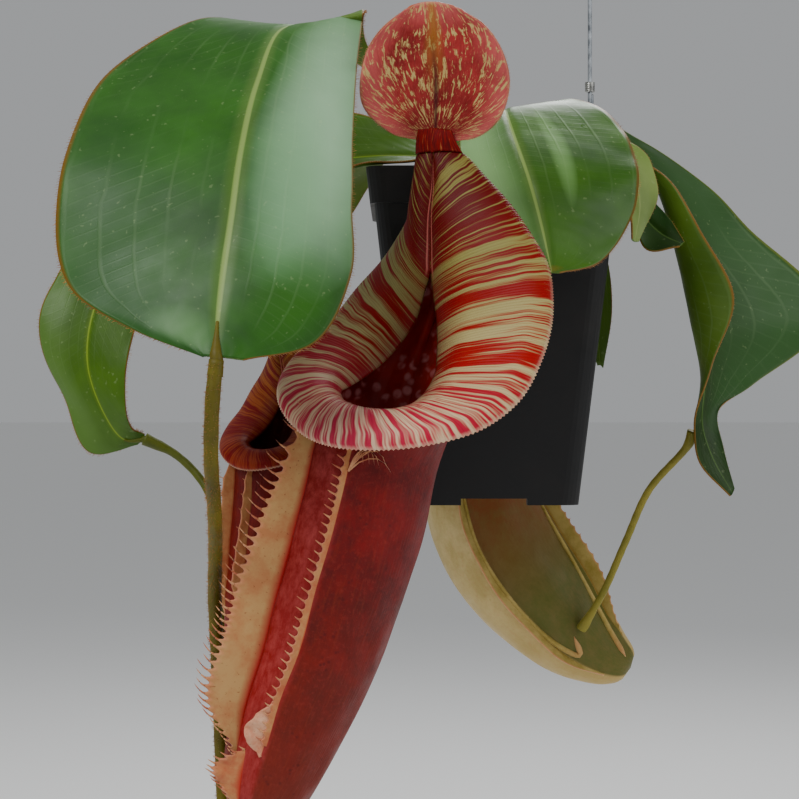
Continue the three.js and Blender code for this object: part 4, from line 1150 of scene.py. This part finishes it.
def spots(count, seed, apart):
    """Seeded places on top of the mix, away from the stem and from each other."""
    rng = random.Random(seed)
    half = inner_half(SOIL_TOP) - 2
    found = []
    for _ in range(count * 12):
        x, y = rng.uniform(-half, half), rng.uniform(-half, half)
        if math.hypot(x, y) < STEM_RADIUS + 2 or (abs(x) > half - 4 and abs(y) > half - 4):
            continue
        if any((x - a) ** 2 + (y - b) ** 2 < apart * apart for a, b in found):
            continue
        found.append((x, y))
        if len(found) == count:
            break
    return found, rng


def make_chips(name, count, seed, look, size, flatness, apart, lift):
    """Bark chips, grit or moss heads: small lumps, each a roughened low round."""
    places, rng = spots(count, seed, apart)
    work = bmesh.new()
    for x, y in places:
        lump = bmesh.new()
        bmesh.ops.create_icosphere(lump, subdivisions=2, radius=1.0)
        span = Vector((rng.uniform(*size), rng.uniform(*size) * 0.7, rng.uniform(*size) * flatness))
        for vert in lump.verts:
            rough = 1 + rng.uniform(-0.12, 0.12)
            vert.co = Vector((vert.co.x * span.x, vert.co.y * span.y, vert.co.z * span.z)) * rough
        spin = Matrix.Rotation(rng.uniform(0, math.tau), 4, "Z")
        tilt = Matrix.Rotation(rng.uniform(-0.5, 0.5), 4, "X")
        bmesh.ops.transform(lump, matrix=spin @ tilt, verts=lump.verts)
        low = min(vert.co.z for vert in lump.verts)
        base = mix_height(x, y) + lift
        for vert in lump.verts:
            vert.co = to_row(vert.co + Vector((x, y, base - low * 0.35)))
        joined = mesh_of(lump, "lump")
        work.from_mesh(joined)
        bpy.data.meshes.remove(joined)
    piece(name, outward(work), [look])


def moss_paths(count, seed):
    """Upright curling moss shoots in loose clumps on the mix."""
    rng = random.Random(seed)
    half = inner_half(SOIL_TOP) - 4
    clumps = [[rng.uniform(low, high) for low, high in ((-half, half), (-half, half), (4, 9))]
              for _ in range(14)]
    paths = []
    while len(paths) < count:
        cx, cy, reach = rng.choice(clumps)
        angle, distance = rng.uniform(0, math.tau), reach * math.sqrt(rng.random())
        x, y = cx + math.cos(angle) * distance, cy + math.sin(angle) * distance
        if math.hypot(x, y) < STEM_RADIUS + 1.5 or max(abs(x), abs(y)) > half + 2:
            continue
        foot = Vector((x, y, mix_height(x, y) - 0.3))
        lean = Vector((rng.uniform(-1, 1), rng.uniform(-1, 1), 0)) * 0.7
        height = rng.uniform(1.6, 3.2)
        paths.append([foot + lean * (k / 4) ** 2 + UP * (height * k / 4) for k in range(5)])
    return paths


def make_stem(look):
    """The woody crown with the rings that old leaves left."""
    foot, top = SOIL_TOP - 29.5, STEM_TOP + STEM_DOME
    cap, foot_taper, top_taper = 0.05, 0.6, 1.8

    def at(u, v):
        angle = angle_of(u)
        if v < cap or v > 1 - cap:
            share = min(v, 1 - v) / cap
            z = foot if v < cap else mix(top, STEM_TOP, share)
            radius = (STEM_RADIUS - (foot_taper if v < cap else top_taper)) * share
        else:
            z = mix(foot, STEM_TOP, (v - cap) / (1 - 2 * cap))
            radius = STEM_RADIUS - foot_taper * smooth((foot + 8 - z) / 8)
            radius -= top_taper * smooth((z - STEM_TOP + 4) / 4)
            radius -= 0.3 * abs(math.sin(z * 0.55 + 0.5 * math.sin(angle + 1))) ** 6
            radius -= 0.15 * abs(math.sin(angle * 7 + z))
        return ring_point(radius, angle, z)

    piece("stem_bark", outward(spread(40, 120, at)), [look], ["stem"])


def make_spear(look, seam_look):
    """The young leaf, still rolled up: a tapering tube with a spiral lap."""
    path = Line(SPEAR).evenly(60)
    work = tube(path, lambda s: max(0.42, mix(2.9, 0.5, s ** 1.5) * (1 - 0.04 * math.sin(s * 40))), 20)
    piece("leaf_spear_roll", work, [look], ["leaf_spear"])
    lap = []
    for k in range(61):
        s = k / 60
        radius = max(0.4, mix(2.9, 0.5, s ** 1.5))
        lap.append(path[k] + ring_point(radius - 0.05, 2.2 + s * 3.4, 0))
    piece("leaf_spear_lap", tube(lap[2:-2], lambda s: 0.22, 8), [seam_look])


def hanger_route():
    """The long wire's line from the pot's rim up and round the hook."""
    inward = Vector((HOOK.x - WIRE_X, HOOK.y - WIRE_Y)).normalized()
    crown = HOOK + UP * WIRE_RADIUS
    route = [(WIRE_X, WIRE_Y, z) for z in (POT_TOP - 6, 40, 110, 138)]
    bend = 7
    for angle in (-0.25, 0.25, 0.5, 0.75, 1, 1.25):
        reach = -bend * math.cos(angle * math.pi)
        height = bend * (math.sin(angle * math.pi) - 1)
        route.append((crown.x + inward.x * reach, crown.y + inward.y * reach, crown.z + height))
    return route


def make_hanger(steel, metal):
    wire = tube_along(hanger_route(), 140, lambda s: WIRE_RADIUS * 0.98, 16)
    piece("hanger_long_wire", wire, [steel], ["hanger_wire"])
    below = POT_TOP - 14
    clip = [(0.9, 36), (1.0, 25), (1.4, POT_TOP + 5), (3.6, POT_TOP + 2.8), (5.6, POT_TOP),
            (5.9, below + 4), (5.4, below - 1), (3.6, below - 2.4)]
    route = [(WIRE_X + reach, WIRE_Y + reach, z) for reach, z in clip]
    wire = tube_along(route, 90, lambda s: WIRE_RADIUS * 0.88, 14)
    piece("hanger_clip_wire", wire, [steel])
    bore = WIRE_RADIUS + FIT_GAP

    def at(u, v):
        angle = angle_of(u)
        crimp = 0.14 * math.cos(v * math.pi * 6) ** 2 if 0.12 < v < 0.88 else 0
        radius = bore + FERRULE_WALL - crimp
        if v < 0.1 or v > 0.9:
            radius = mix(bore, bore + FERRULE_WALL - 0.04, (v if v < 0.5 else 1 - v) / 0.1)
        z = mix(-FERRULE_HALF, FERRULE_HALF, clamp((v - 0.1) / 0.8))
        return Vector((WIRE_X, WIRE_Y, FERRULE_HEIGHT)) + ring_point(radius, angle, z)

    work = spread(36, 60, at)
    bmesh.ops.bridge_loops(work, edges=[edge for edge in work.edges if edge.is_boundary])
    piece("hanger_ferrule_crimp", outward(work), [metal], ["hanger_ferrule"])


def make_tendril(name, look, fuzz, count, slim=0.0):
    """A tendril and its fuzz of short hairs."""
    path = Line(TENDRILS[name]).evenly(150)

    def radius(s):
        waist = slim * smooth(min(s, 1 - s) / 0.12)
        return (TENDRIL_RADIUS - 0.12 - waist) * (1 - 0.05 * math.sin(s * 55) ** 2)

    piece(name + "_skin", tube(path, radius, 18), [look], [name])
    rng = random.Random(name)
    paths = []
    for _ in range(count):
        k = rng.uniform(1, len(path) - 2)
        centre = path[int(k)].lerp(path[int(k) + 1], k % 1)
        heading = (path[int(k) + 1] - path[int(k)]).normalized()
        side = Matrix.Rotation(rng.uniform(0, math.tau), 3, heading) @ heading.orthogonal().normalized()
        foot = centre + side * (radius(k / (len(path) - 1)) - 0.2)
        size = fuzz * rng.uniform(0.5, 1)
        drift = heading * size * rng.uniform(-0.4, 0.4)
        paths.append([foot, foot + side * size * 0.55 + drift * 0.4, foot + side * size + drift])
    piece(name + "_fuzz", strands(paths, 0.08, 0.03), [TAN_HAIR])


# ---------------------------------------------------------------- the plant
def moved_to(start, end, turn, lean, size):
    """The move that takes the front pitcher's form to another pitcher's place."""
    move, scale = Matrix.Translation(Vector(end)), Matrix.Scale(size, 4)
    spin = Matrix.Rotation(math.radians(lean), 4, "Y") @ Matrix.Rotation(math.radians(turn), 4, "Z")
    return move @ spin @ scale @ Matrix.Translation(-Vector(start))


SMALL_PLACE = moved_to((-45, -164, -111), (-84, -100, -119), 0, -10, SMALL_SIZE)
BACK_PLACE = moved_to((-38, -128, -60), (-8, 100, -80), 78, -15, BACK_SIZE)

UNDERLEAF = leaf_look("leaf_underside", (60, 84, 34), (84, 108, 48), (120, 140, 80), gloss=0.5)
TAN_HAIR = thread_look("tan_hairs", (132, 82, 38), (176, 124, 68))
PINK_HAIR = thread_look("pink_filaments", (166, 98, 74), (196, 146, 112))


def make_foot_joint(name, cup, tendril, look, thick):
    """The end of a tendril, which swells as it passes into the foot of its pitcher."""
    end, before = Vector(TENDRILS[tendril][-1]), Vector(TENDRILS[tendril][-2])
    route = [before.lerp(end, 0.5), end] + [cup.line.at(s) for s in (1, 0.975, 0.95)]
    work = tube_along(route, 40, lambda s: mix(thick, thick + 1.2, smooth(s)), 16)
    piece(name + "_foot_joint", work, [look])


def make_leaf_joint(leaf, tendril, look, thick):
    """The end of a leaf's midrib, which swells as it passes into the tendril."""
    blade, start = Blade(LEAVES[leaf], 0), Vector(TENDRILS[tendril][0])
    forward = blade.face(0.97) * (1 if blade.face(0.97).y < 0 else -1)
    route = [blade.at(u, 0.5) + forward * 0.35 for u in (0.9, 0.925, 0.95, 0.975, 0.995)]
    route += [start, Vector(TENDRILS[tendril][1]).lerp(start, 0.6)]
    work = tube_along(route, 40, lambda s: mix(0.5, thick, smooth(s)), 16)
    piece(leaf + "_joint", work, [look])


def make_leaves():
    rib = (138, 158, 96)
    front = leaf_look("leaf_front_face", (28, 64, 16), (50, 94, 30), rib, [
        # The first two patches are painted sheen: pale light reflected from the glossy upper right of the
        # blade.
        ((0.62, 0.16), (0.26, 0.34), (150, 180, 150), 0.85),
        ((0.7, 0.3), (0.16, 0.2), (110, 150, 110), 0.5),
        ((0.82, 0.86), (0.3, 0.28), (24, 66, 16), 0.8),
        ((0.93, 0.7), (0.08, 0.24), (96, 136, 84), 0.5),
        ((0.86, 0.2), (0.1, 0.2), (44, 88, 24), 0.7)])
    right = leaf_look("leaf_right_face", (36, 68, 8), (62, 98, 16), rib, [
        # The first patch is painted sheen: a pale bluish reflection of the light over half the blade.
        ((0.6, 0.86), (0.6, 0.38), (134, 168, 118), 0.95),
        ((0.5, 0.3), (0.2, 0.06), (130, 166, 110), 0.5),
        ((0.97, 0.5), (0.05, 0.4), (110, 96, 40), 0.6)], gloss=0.32, wet=0.12)
    left = leaf_look("leaf_left_face", (40, 66, 3), (64, 94, 10), (126, 146, 60), [
        ((0.75, 0.95), (0.3, 0.3), (84, 112, 58), 0.7)])
    dim = leaf_look("leaf_dim_face", (22, 42, 7), (40, 68, 20), (90, 118, 62), [
        ((0.62, 0.1), (0.4, 0.4), (46, 80, 38), 0.8)], margin=(108, 116, 56))
    pale = leaf_look("leaf_pale_face", (96, 116, 60), (130, 146, 92), (160, 170, 120))
    for name, under, face, columns, rows, hairs, hair_size, ripple in (
            ("front", UNDERLEAF, front, 150, 72, 620, 1.5, 0.35),
            ("right", UNDERLEAF, right, 110, 60, 420, 1.1, 0.3),
            ("left", left, left, 140, 56, 460, 1.3, 0.4),
            ("far_right", UNDERLEAF, dim, 110, 48, 260, 0.6, 0.3),
            ("behind_pot", UNDERLEAF, dim, 70, 32, 120, 0.8, 0.2),
            ("back", UNDERLEAF, left, 90, 44, 240, 1.0, 0.3),
            ("folded", UNDERLEAF, pale, 70, 32, 120, 0.7, 0.2),
            ("small", UNDERLEAF, dim, 60, 28, 100, 0.7, 0.2)):
        make_leaf("leaf_" + name, [under, face], columns, rows, hairs, hair_size, ripple)
    young = skin_look("young_leaf", (100, 130, 40), (146, 166, 70), 90, (200, 170, 110))
    make_spear(young, TAN_HAIR)


def make_tendrils():
    olive = skin_look("tendril_olive", (66, 60, 10), (92, 84, 20), 60, (196, 140, 76))
    plain = skin_look("tendril_plain", (56, 62, 14), (84, 90, 28), 60, (150, 140, 80))
    pale = skin_look("tendril_pale", (104, 100, 44), (136, 126, 66), 60, (170, 160, 110))
    make_tendril("tendril_main", olive, 1.3, 2800)
    make_tendril("tendril_left", plain, 0.35, 500, SLIM)
    make_leaf_joint("leaf_front", "tendril_main", olive, TENDRIL_RADIUS)
    make_leaf_joint("leaf_left", "tendril_left", plain, TENDRIL_RADIUS - SLIM)
    make_tendril("tendril_right", pale, 0.45, 500, SLIM)


def make_main_wings(cup):
    """The two long fringed wings, and the pale lip and the spiky lobe that close them at the bottom."""
    tan = wing_look("wing_tan", (176, 142, 102), (166, 116, 84), (146, 34, 34), 0.6)
    ridge_skin = wing_look("wing_ridge", (182, 136, 98), (168, 98, 74), (164, 56, 46), 0.5)
    pale = wing_look("wing_lip", (214, 176, 150), (190, 128, 104), (180, 110, 84), 0.9)
    left = Wing(cup, LEFT_WING_AT, -31 - LEFT_WING_AT,
                [(-0.12, 5), (-0.005, 9.5), (0.11, 12), (0.225, 13.7), (0.34, 15.2), (0.455, 16),
                 (0.57, 16.4), (0.685, 15), (0.8, 0.3)], 40, 0.6)
    ridge = Wing(cup, RIGHT_WING_AT, -20 - RIGHT_WING_AT,
                 [(-0.1, 1.2), (0.02, 2.6), (0.14, 2.7), (0.26, 2.8), (0.38, 2.9), (0.5, 3), (0.62, 3.2),
                  (0.74, 2.4)], 36, 0.15)
    lip = Wing(cup, RIGHT_WING_AT - 2, -26 - RIGHT_WING_AT,
               [(0.62, 0.4), (0.65, 3), (0.68, 6), (0.71, 8), (0.74, 6.5), (0.77, 0.3)])
    lobe = Wing(cup, 16, -52, [(0.76, 0.4), (0.8, 7), (0.84, 11), (0.88, 9), (0.92, 5), (0.96, 0.3)], 13)
    for name, wing, look, depth, flare in (
            ("left", left, tan, 2.2, 0.5), ("right", ridge, ridge_skin, 1.1, 0.25),
            ("lip", lip, pale, 0, 1.2), ("lobe", lobe, ridge_skin, 1.2, 1.0)):
        work = spread(max(60, 8 * wing.hairs), 12, wing_sheet(wing, depth, flare))
        piece("pitcher_main_wing_" + name, work, [look], [], 0.8)
    paths = wing_hairs(left, 6.0, 1.6, 3, 0.5, 0.35) + wing_hairs(ridge, 3.6, 1.4, 5, 0.3, 0.2)
    paths += wing_hairs(lobe, 3.2, 1.3, 7, 0.2, 0.1)
    piece("pitcher_main_fringe", strands(paths, 0.42, 0.1, 6), [PINK_HAIR])
    stray = strands(stray_hairs(cup, RIGHT_WING_AT, 4), 0.32, 0.08, 5)
    piece("pitcher_main_stray_hairs", stray, [PINK_HAIR])


def make_pitcher_main():
    mouth = Mouth(Matrix.Identity(4), 1)
    creams = [(0.0, (112, 106, 60)), (0.35, (134, 128, 82)), (0.6, (174, 160, 120)),
              (0.85, (206, 180, 152)), (1.0, (206, 174, 156))]
    reds = [(0.0, (66, 3, 8)), (0.22, (86, 5, 12)), (0.42, (124, 10, 24)),
            (0.62, (146, 24, 40)), (0.85, (168, 56, 72)), (1.0, (168, 66, 82))]
    rim = rim_look("rim_main_ribs", creams, reds, RIBS_PER_STATION, (RIGHT_BANDS, LEFT_BANDS))
    under = skin_look("rim_underside", (140, 56, 40), (176, 100, 74), 80, (230, 180, 150), 0.45)
    make_rim("pitcher_main_rim", mouth, rim, under, RIBS_PER_STATION, 30, 0.13, 0.5)
    cup = Cup(mouth, MAIN_AXIS, MAIN_LEVELS, MAIN_FRONT)
    zone = (cup.turn_of(RIGHT_WING_AT), cup.turn_of(LEFT_WING_AT))
    skin = cup_look("cup_main_skin", (110, 18, 17), (72, 5, 7), (104, 38, 22),
                    (112, 20, 26), (126, 36, 36), (166, 82, 80), zone)
    # Painted light: these colours are paler than the throat's own dark red, standing in for light through
    # the wall into the shaded cavity.
    throat = throat_look("throat_main", (120, 26, 24), (176, 56, 46), (214, 146, 146))
    make_cup("pitcher_main_cup", cup, [skin, throat], 156, 110)
    make_main_wings(cup)
    foot = skin_look("foot_main", (92, 52, 20), (112, 70, 30), 60, (150, 90, 60))
    make_foot_joint("pitcher_main", cup, "tendril_main", foot, TENDRIL_RADIUS - 0.1)
    lid = lid_look("lid_main", (152, 56, 56), (110, 24, 28), (190, 172, 120), (184, 98, 96), 0.545)
    blade = make_lid("pitcher_main_lid", Matrix.Identity(4), lid, under, 240)
    neck = collar_look("lid_collar", (70, 4, 9), (112, 14, 22), (150, 104, 70))
    make_collar("pitcher_main_lid_collar", mouth, blade, neck)


def make_small_pitcher(name, place, size, cup, colors, wings, ridges=()):
    """A pitcher smaller than the front one, its zone lying between its two plainer wings.

    colors holds what each finish takes, wings each wing's place, lean, widths, hairs and their length."""
    whole, mouth = "pitcher_" + name, cup.mouth
    skin = cup_look(f"cup_{name}_skin", *colors["skin"], [cup.turn_of(wing[0]) for wing in reversed(wings)])
    throat = throat_look("throat_" + name, *colors["throat"])
    rim = rim_look(f"rim_{name}_ribs", *colors["rim"], SMALL_RIM_RIBS)
    fold = wing_look(f"wing_{name}_pitcher", *colors["wing"], 0.3)
    lid = lid_look("lid_" + name, *colors["lid"])
    under = skin_look(whole + "_underside", (150, 80, 56), (190, 130, 96), 80, (220, 180, 150), 0.45)
    for side, route in ridges:
        path = [cup.at(cup.turn_of(angle), v) for angle, v in route]
        work = tube_along(path, 90, lambda s: mix(0.7, 1.3, s) * smooth(min(s, 1 - s) / 0.06 + 0.2), 12)
        piece(f"{whole}_ridge_{side}", work, [fold])
    make_rim(whole + "_rim", mouth, rim, under, SMALL_RIM_RIBS, 20, 0.2, 0.5 * size)
    make_cup(whole + "_cup", cup, [skin, throat], 104, 80, 0.2)
    paths = []
    for side, (at, lean, widths, hairs, length) in enumerate(wings):
        wing = Wing(cup, at, lean, widths, hairs)
        work = spread(max(40, 8 * hairs), 8, wing_sheet(wing, 0.8 * size, 0.3))
        piece(f"{whole}_wing_{side}", work, [fold], [], 0.7)
        paths += wing_hairs(wing, length, 1.4, side + 11)
    slim = 0.6 + 0.4 * size
    work = strands(paths, 0.34 * slim, 0.1 * slim, 5)
    piece(whole + "_fringe", work, [PINK_HAIR])
    blade = make_lid(whole + "_lid", place, lid, under, 140)
    make_collar(whole + "_lid_collar", mouth, blade, lid)


def make_pitcher_left():
    axis = [SMALL_PLACE @ Vector(p) for p in MAIN_AXIS]
    levels = [(s, max(radius * SMALL_SIZE, 2.2)) for s, radius in MAIN_LEVELS]
    cup = Cup(Mouth(SMALL_PLACE, SMALL_SIZE), axis, levels, MAIN_FRONT)
    foot = skin_look("foot_left", (76, 56, 20), (100, 70, 30), 60, (150, 90, 60))
    make_foot_joint("pitcher_left", cup, "tendril_left", foot, TENDRIL_RADIUS - SLIM)
    colors = {
        "skin": [(120, 36, 22), (84, 10, 8), (120, 64, 34), (84, 10, 8), (96, 22, 14), (120, 40, 30)],
        "throat": [(64, 10, 10), (92, 22, 20), (110, 50, 44)],
        "rim": [[(0.0, (150, 112, 64)), (0.6, (146, 78, 52)), (1.0, (138, 62, 46))],
                [(0.0, (98, 24, 20)), (0.6, (110, 24, 24)), (1.0, (114, 28, 26))]],
        "wing": [(186, 142, 104), (164, 100, 74), (120, 26, 22)],
        "lid": [(120, 44, 22), (86, 22, 12), (150, 96, 44), (160, 104, 74)],
    }
    wings = [
        (-26, -5, [(-0.12, 1.5), (0.05, 4.5), (0.22, 4.5), (0.39, 5.5), (0.56, 6), (0.73, 0.3)], 9, 2.4),
        (26, -46, [(-0.12, 1), (0.05, 3), (0.22, 3.5), (0.39, 4), (0.56, 4.5), (0.73, 0.3)], 9, 2)]
    make_small_pitcher("left", SMALL_PLACE, SMALL_SIZE, cup, colors, wings)


def make_pitcher_back():
    """The pale pitcher under the pot, with smooth ridges beside its zone. One sweeps in from its tendril."""
    cup = Cup(Mouth(BACK_PLACE, BACK_SIZE), BACK_AXIS, BACK_LEVELS, BACK_FRONT)
    colors = {
        "skin": [(194, 176, 134), (166, 148, 102), (168, 146, 98), (124, 54, 42), (70, 76, 30),
                 (100, 86, 50)],
        "throat": [(90, 24, 18), (120, 44, 34), (150, 94, 80)],
        "rim": [[(0.0, (140, 130, 70)), (1.0, (180, 146, 100))],
                [(0.0, (90, 16, 12)), (1.0, (146, 56, 44))]],
        "wing": [(172, 152, 100), (140, 122, 66), (150, 116, 66)],
        "lid": [(130, 54, 30), (96, 30, 18), (176, 140, 70), (180, 136, 96)],
    }
    wings = [(-48, -20, [(-0.12, 1), (0.08, 3), (0.28, 4), (0.48, 4.5), (0.68, 4), (0.88, 0.3)], 0, 0),
             (44, 20, [(-0.12, 1), (0.08, 4.5), (0.28, 6), (0.48, 7), (0.68, 6), (0.88, 0.3)], 26, 1.4)]
    ridges = [
        ("left", [(-48, 0.1), (-48, 0.25), (-48, 0.4), (-48, 0.55), (-46, 0.7), (-36, 0.79), (-22, 0.74)]),
        ("right", [(36, 0.1), (36, 0.25), (35, 0.4), (34, 0.55), (30, 0.7), (22, 0.85), (10, 0.95)]),
    ]
    make_small_pitcher("back", BACK_PLACE, BACK_SIZE, cup, colors, wings, ridges)


def make_pot_and_mix():
    make_pot(plastic_look())
    make_mix(crumb_look("mix_bed", (38, 28, 20), (70, 52, 36)))
    make_chips("bark_chips", 210, 5, crumb_look("bark_chip", (70, 44, 26), (122, 84, 54)),
               (2.0, 4.2), 0.45, 3.6, 0.2)
    make_chips("grit_grains", 120, 9, crumb_look("white_grit", (168, 164, 152), (206, 202, 190), 300),
               (0.6, 1.3), 0.9, 3.0, 0.5)
    moss = crumb_look("moss_shoots", (54, 72, 22), (98, 116, 40), 400)
    piece("moss_shoots", strands(moss_paths(1500, 21), 0.3, 0.12), [moss])
    make_stem(skin_look("stem_bark", (74, 66, 34), (120, 110, 58), 70, (150, 130, 90), 0.7))
    make_hanger(metal_look("wire_steel", (176, 180, 184), (120, 124, 128), 0.3),
                metal_look("ferrule_metal", (190, 190, 186), (130, 130, 128), 0.25))


def make_stage():
    """The pale floor, the soft lights and the camera at the photo's angle."""
    work = bmesh.new()
    bmesh.ops.create_grid(work, x_segments=1, y_segments=1, size=FLOOR_HALF)
    floor = in_scene("stage_floor", mesh_of(work, "stage_floor"), (0, 0, FLOOR_HEIGHT))
    matte = Look("stage_floor", Roughness=0.9)
    matte.shader.inputs["Base Color"].default_value = (0.9, 0.9, 0.89, 1)
    floor.data.materials.append(matte.material)

    world = bpy.data.worlds.new("studio")
    world.use_nodes = True
    sky = next(n for n in world.node_tree.nodes if n.type == "BACKGROUND")
    sky.inputs["Color"].default_value = (0.86, 0.88, 0.9, 1)
    sky.inputs["Strength"].default_value = 0.42
    bpy.context.scene.world = world

    for name, place, power, size in LIGHTS:
        data = bpy.data.lights.new(name, "AREA")
        data.energy, data.size = power, size
        lamp = in_scene(name, data, place)
        lamp.rotation_euler = (LIGHTS_AIM - Vector(place)).to_track_quat("-Z", "Y").to_euler()

    eye = bpy.data.cameras.new("photo_camera")
    eye.lens, eye.sensor_width = CAMERA_LENS, CAMERA_SENSOR
    camera = in_scene("photo_camera", eye, CAMERA_PLACE)
    camera.rotation_euler = (math.pi / 2, 0, 0)
    bpy.context.scene.camera = camera


make_pot_and_mix()
make_leaves()
make_tendrils()
make_pitcher_main()
make_pitcher_left()
make_pitcher_back()
make_stage()
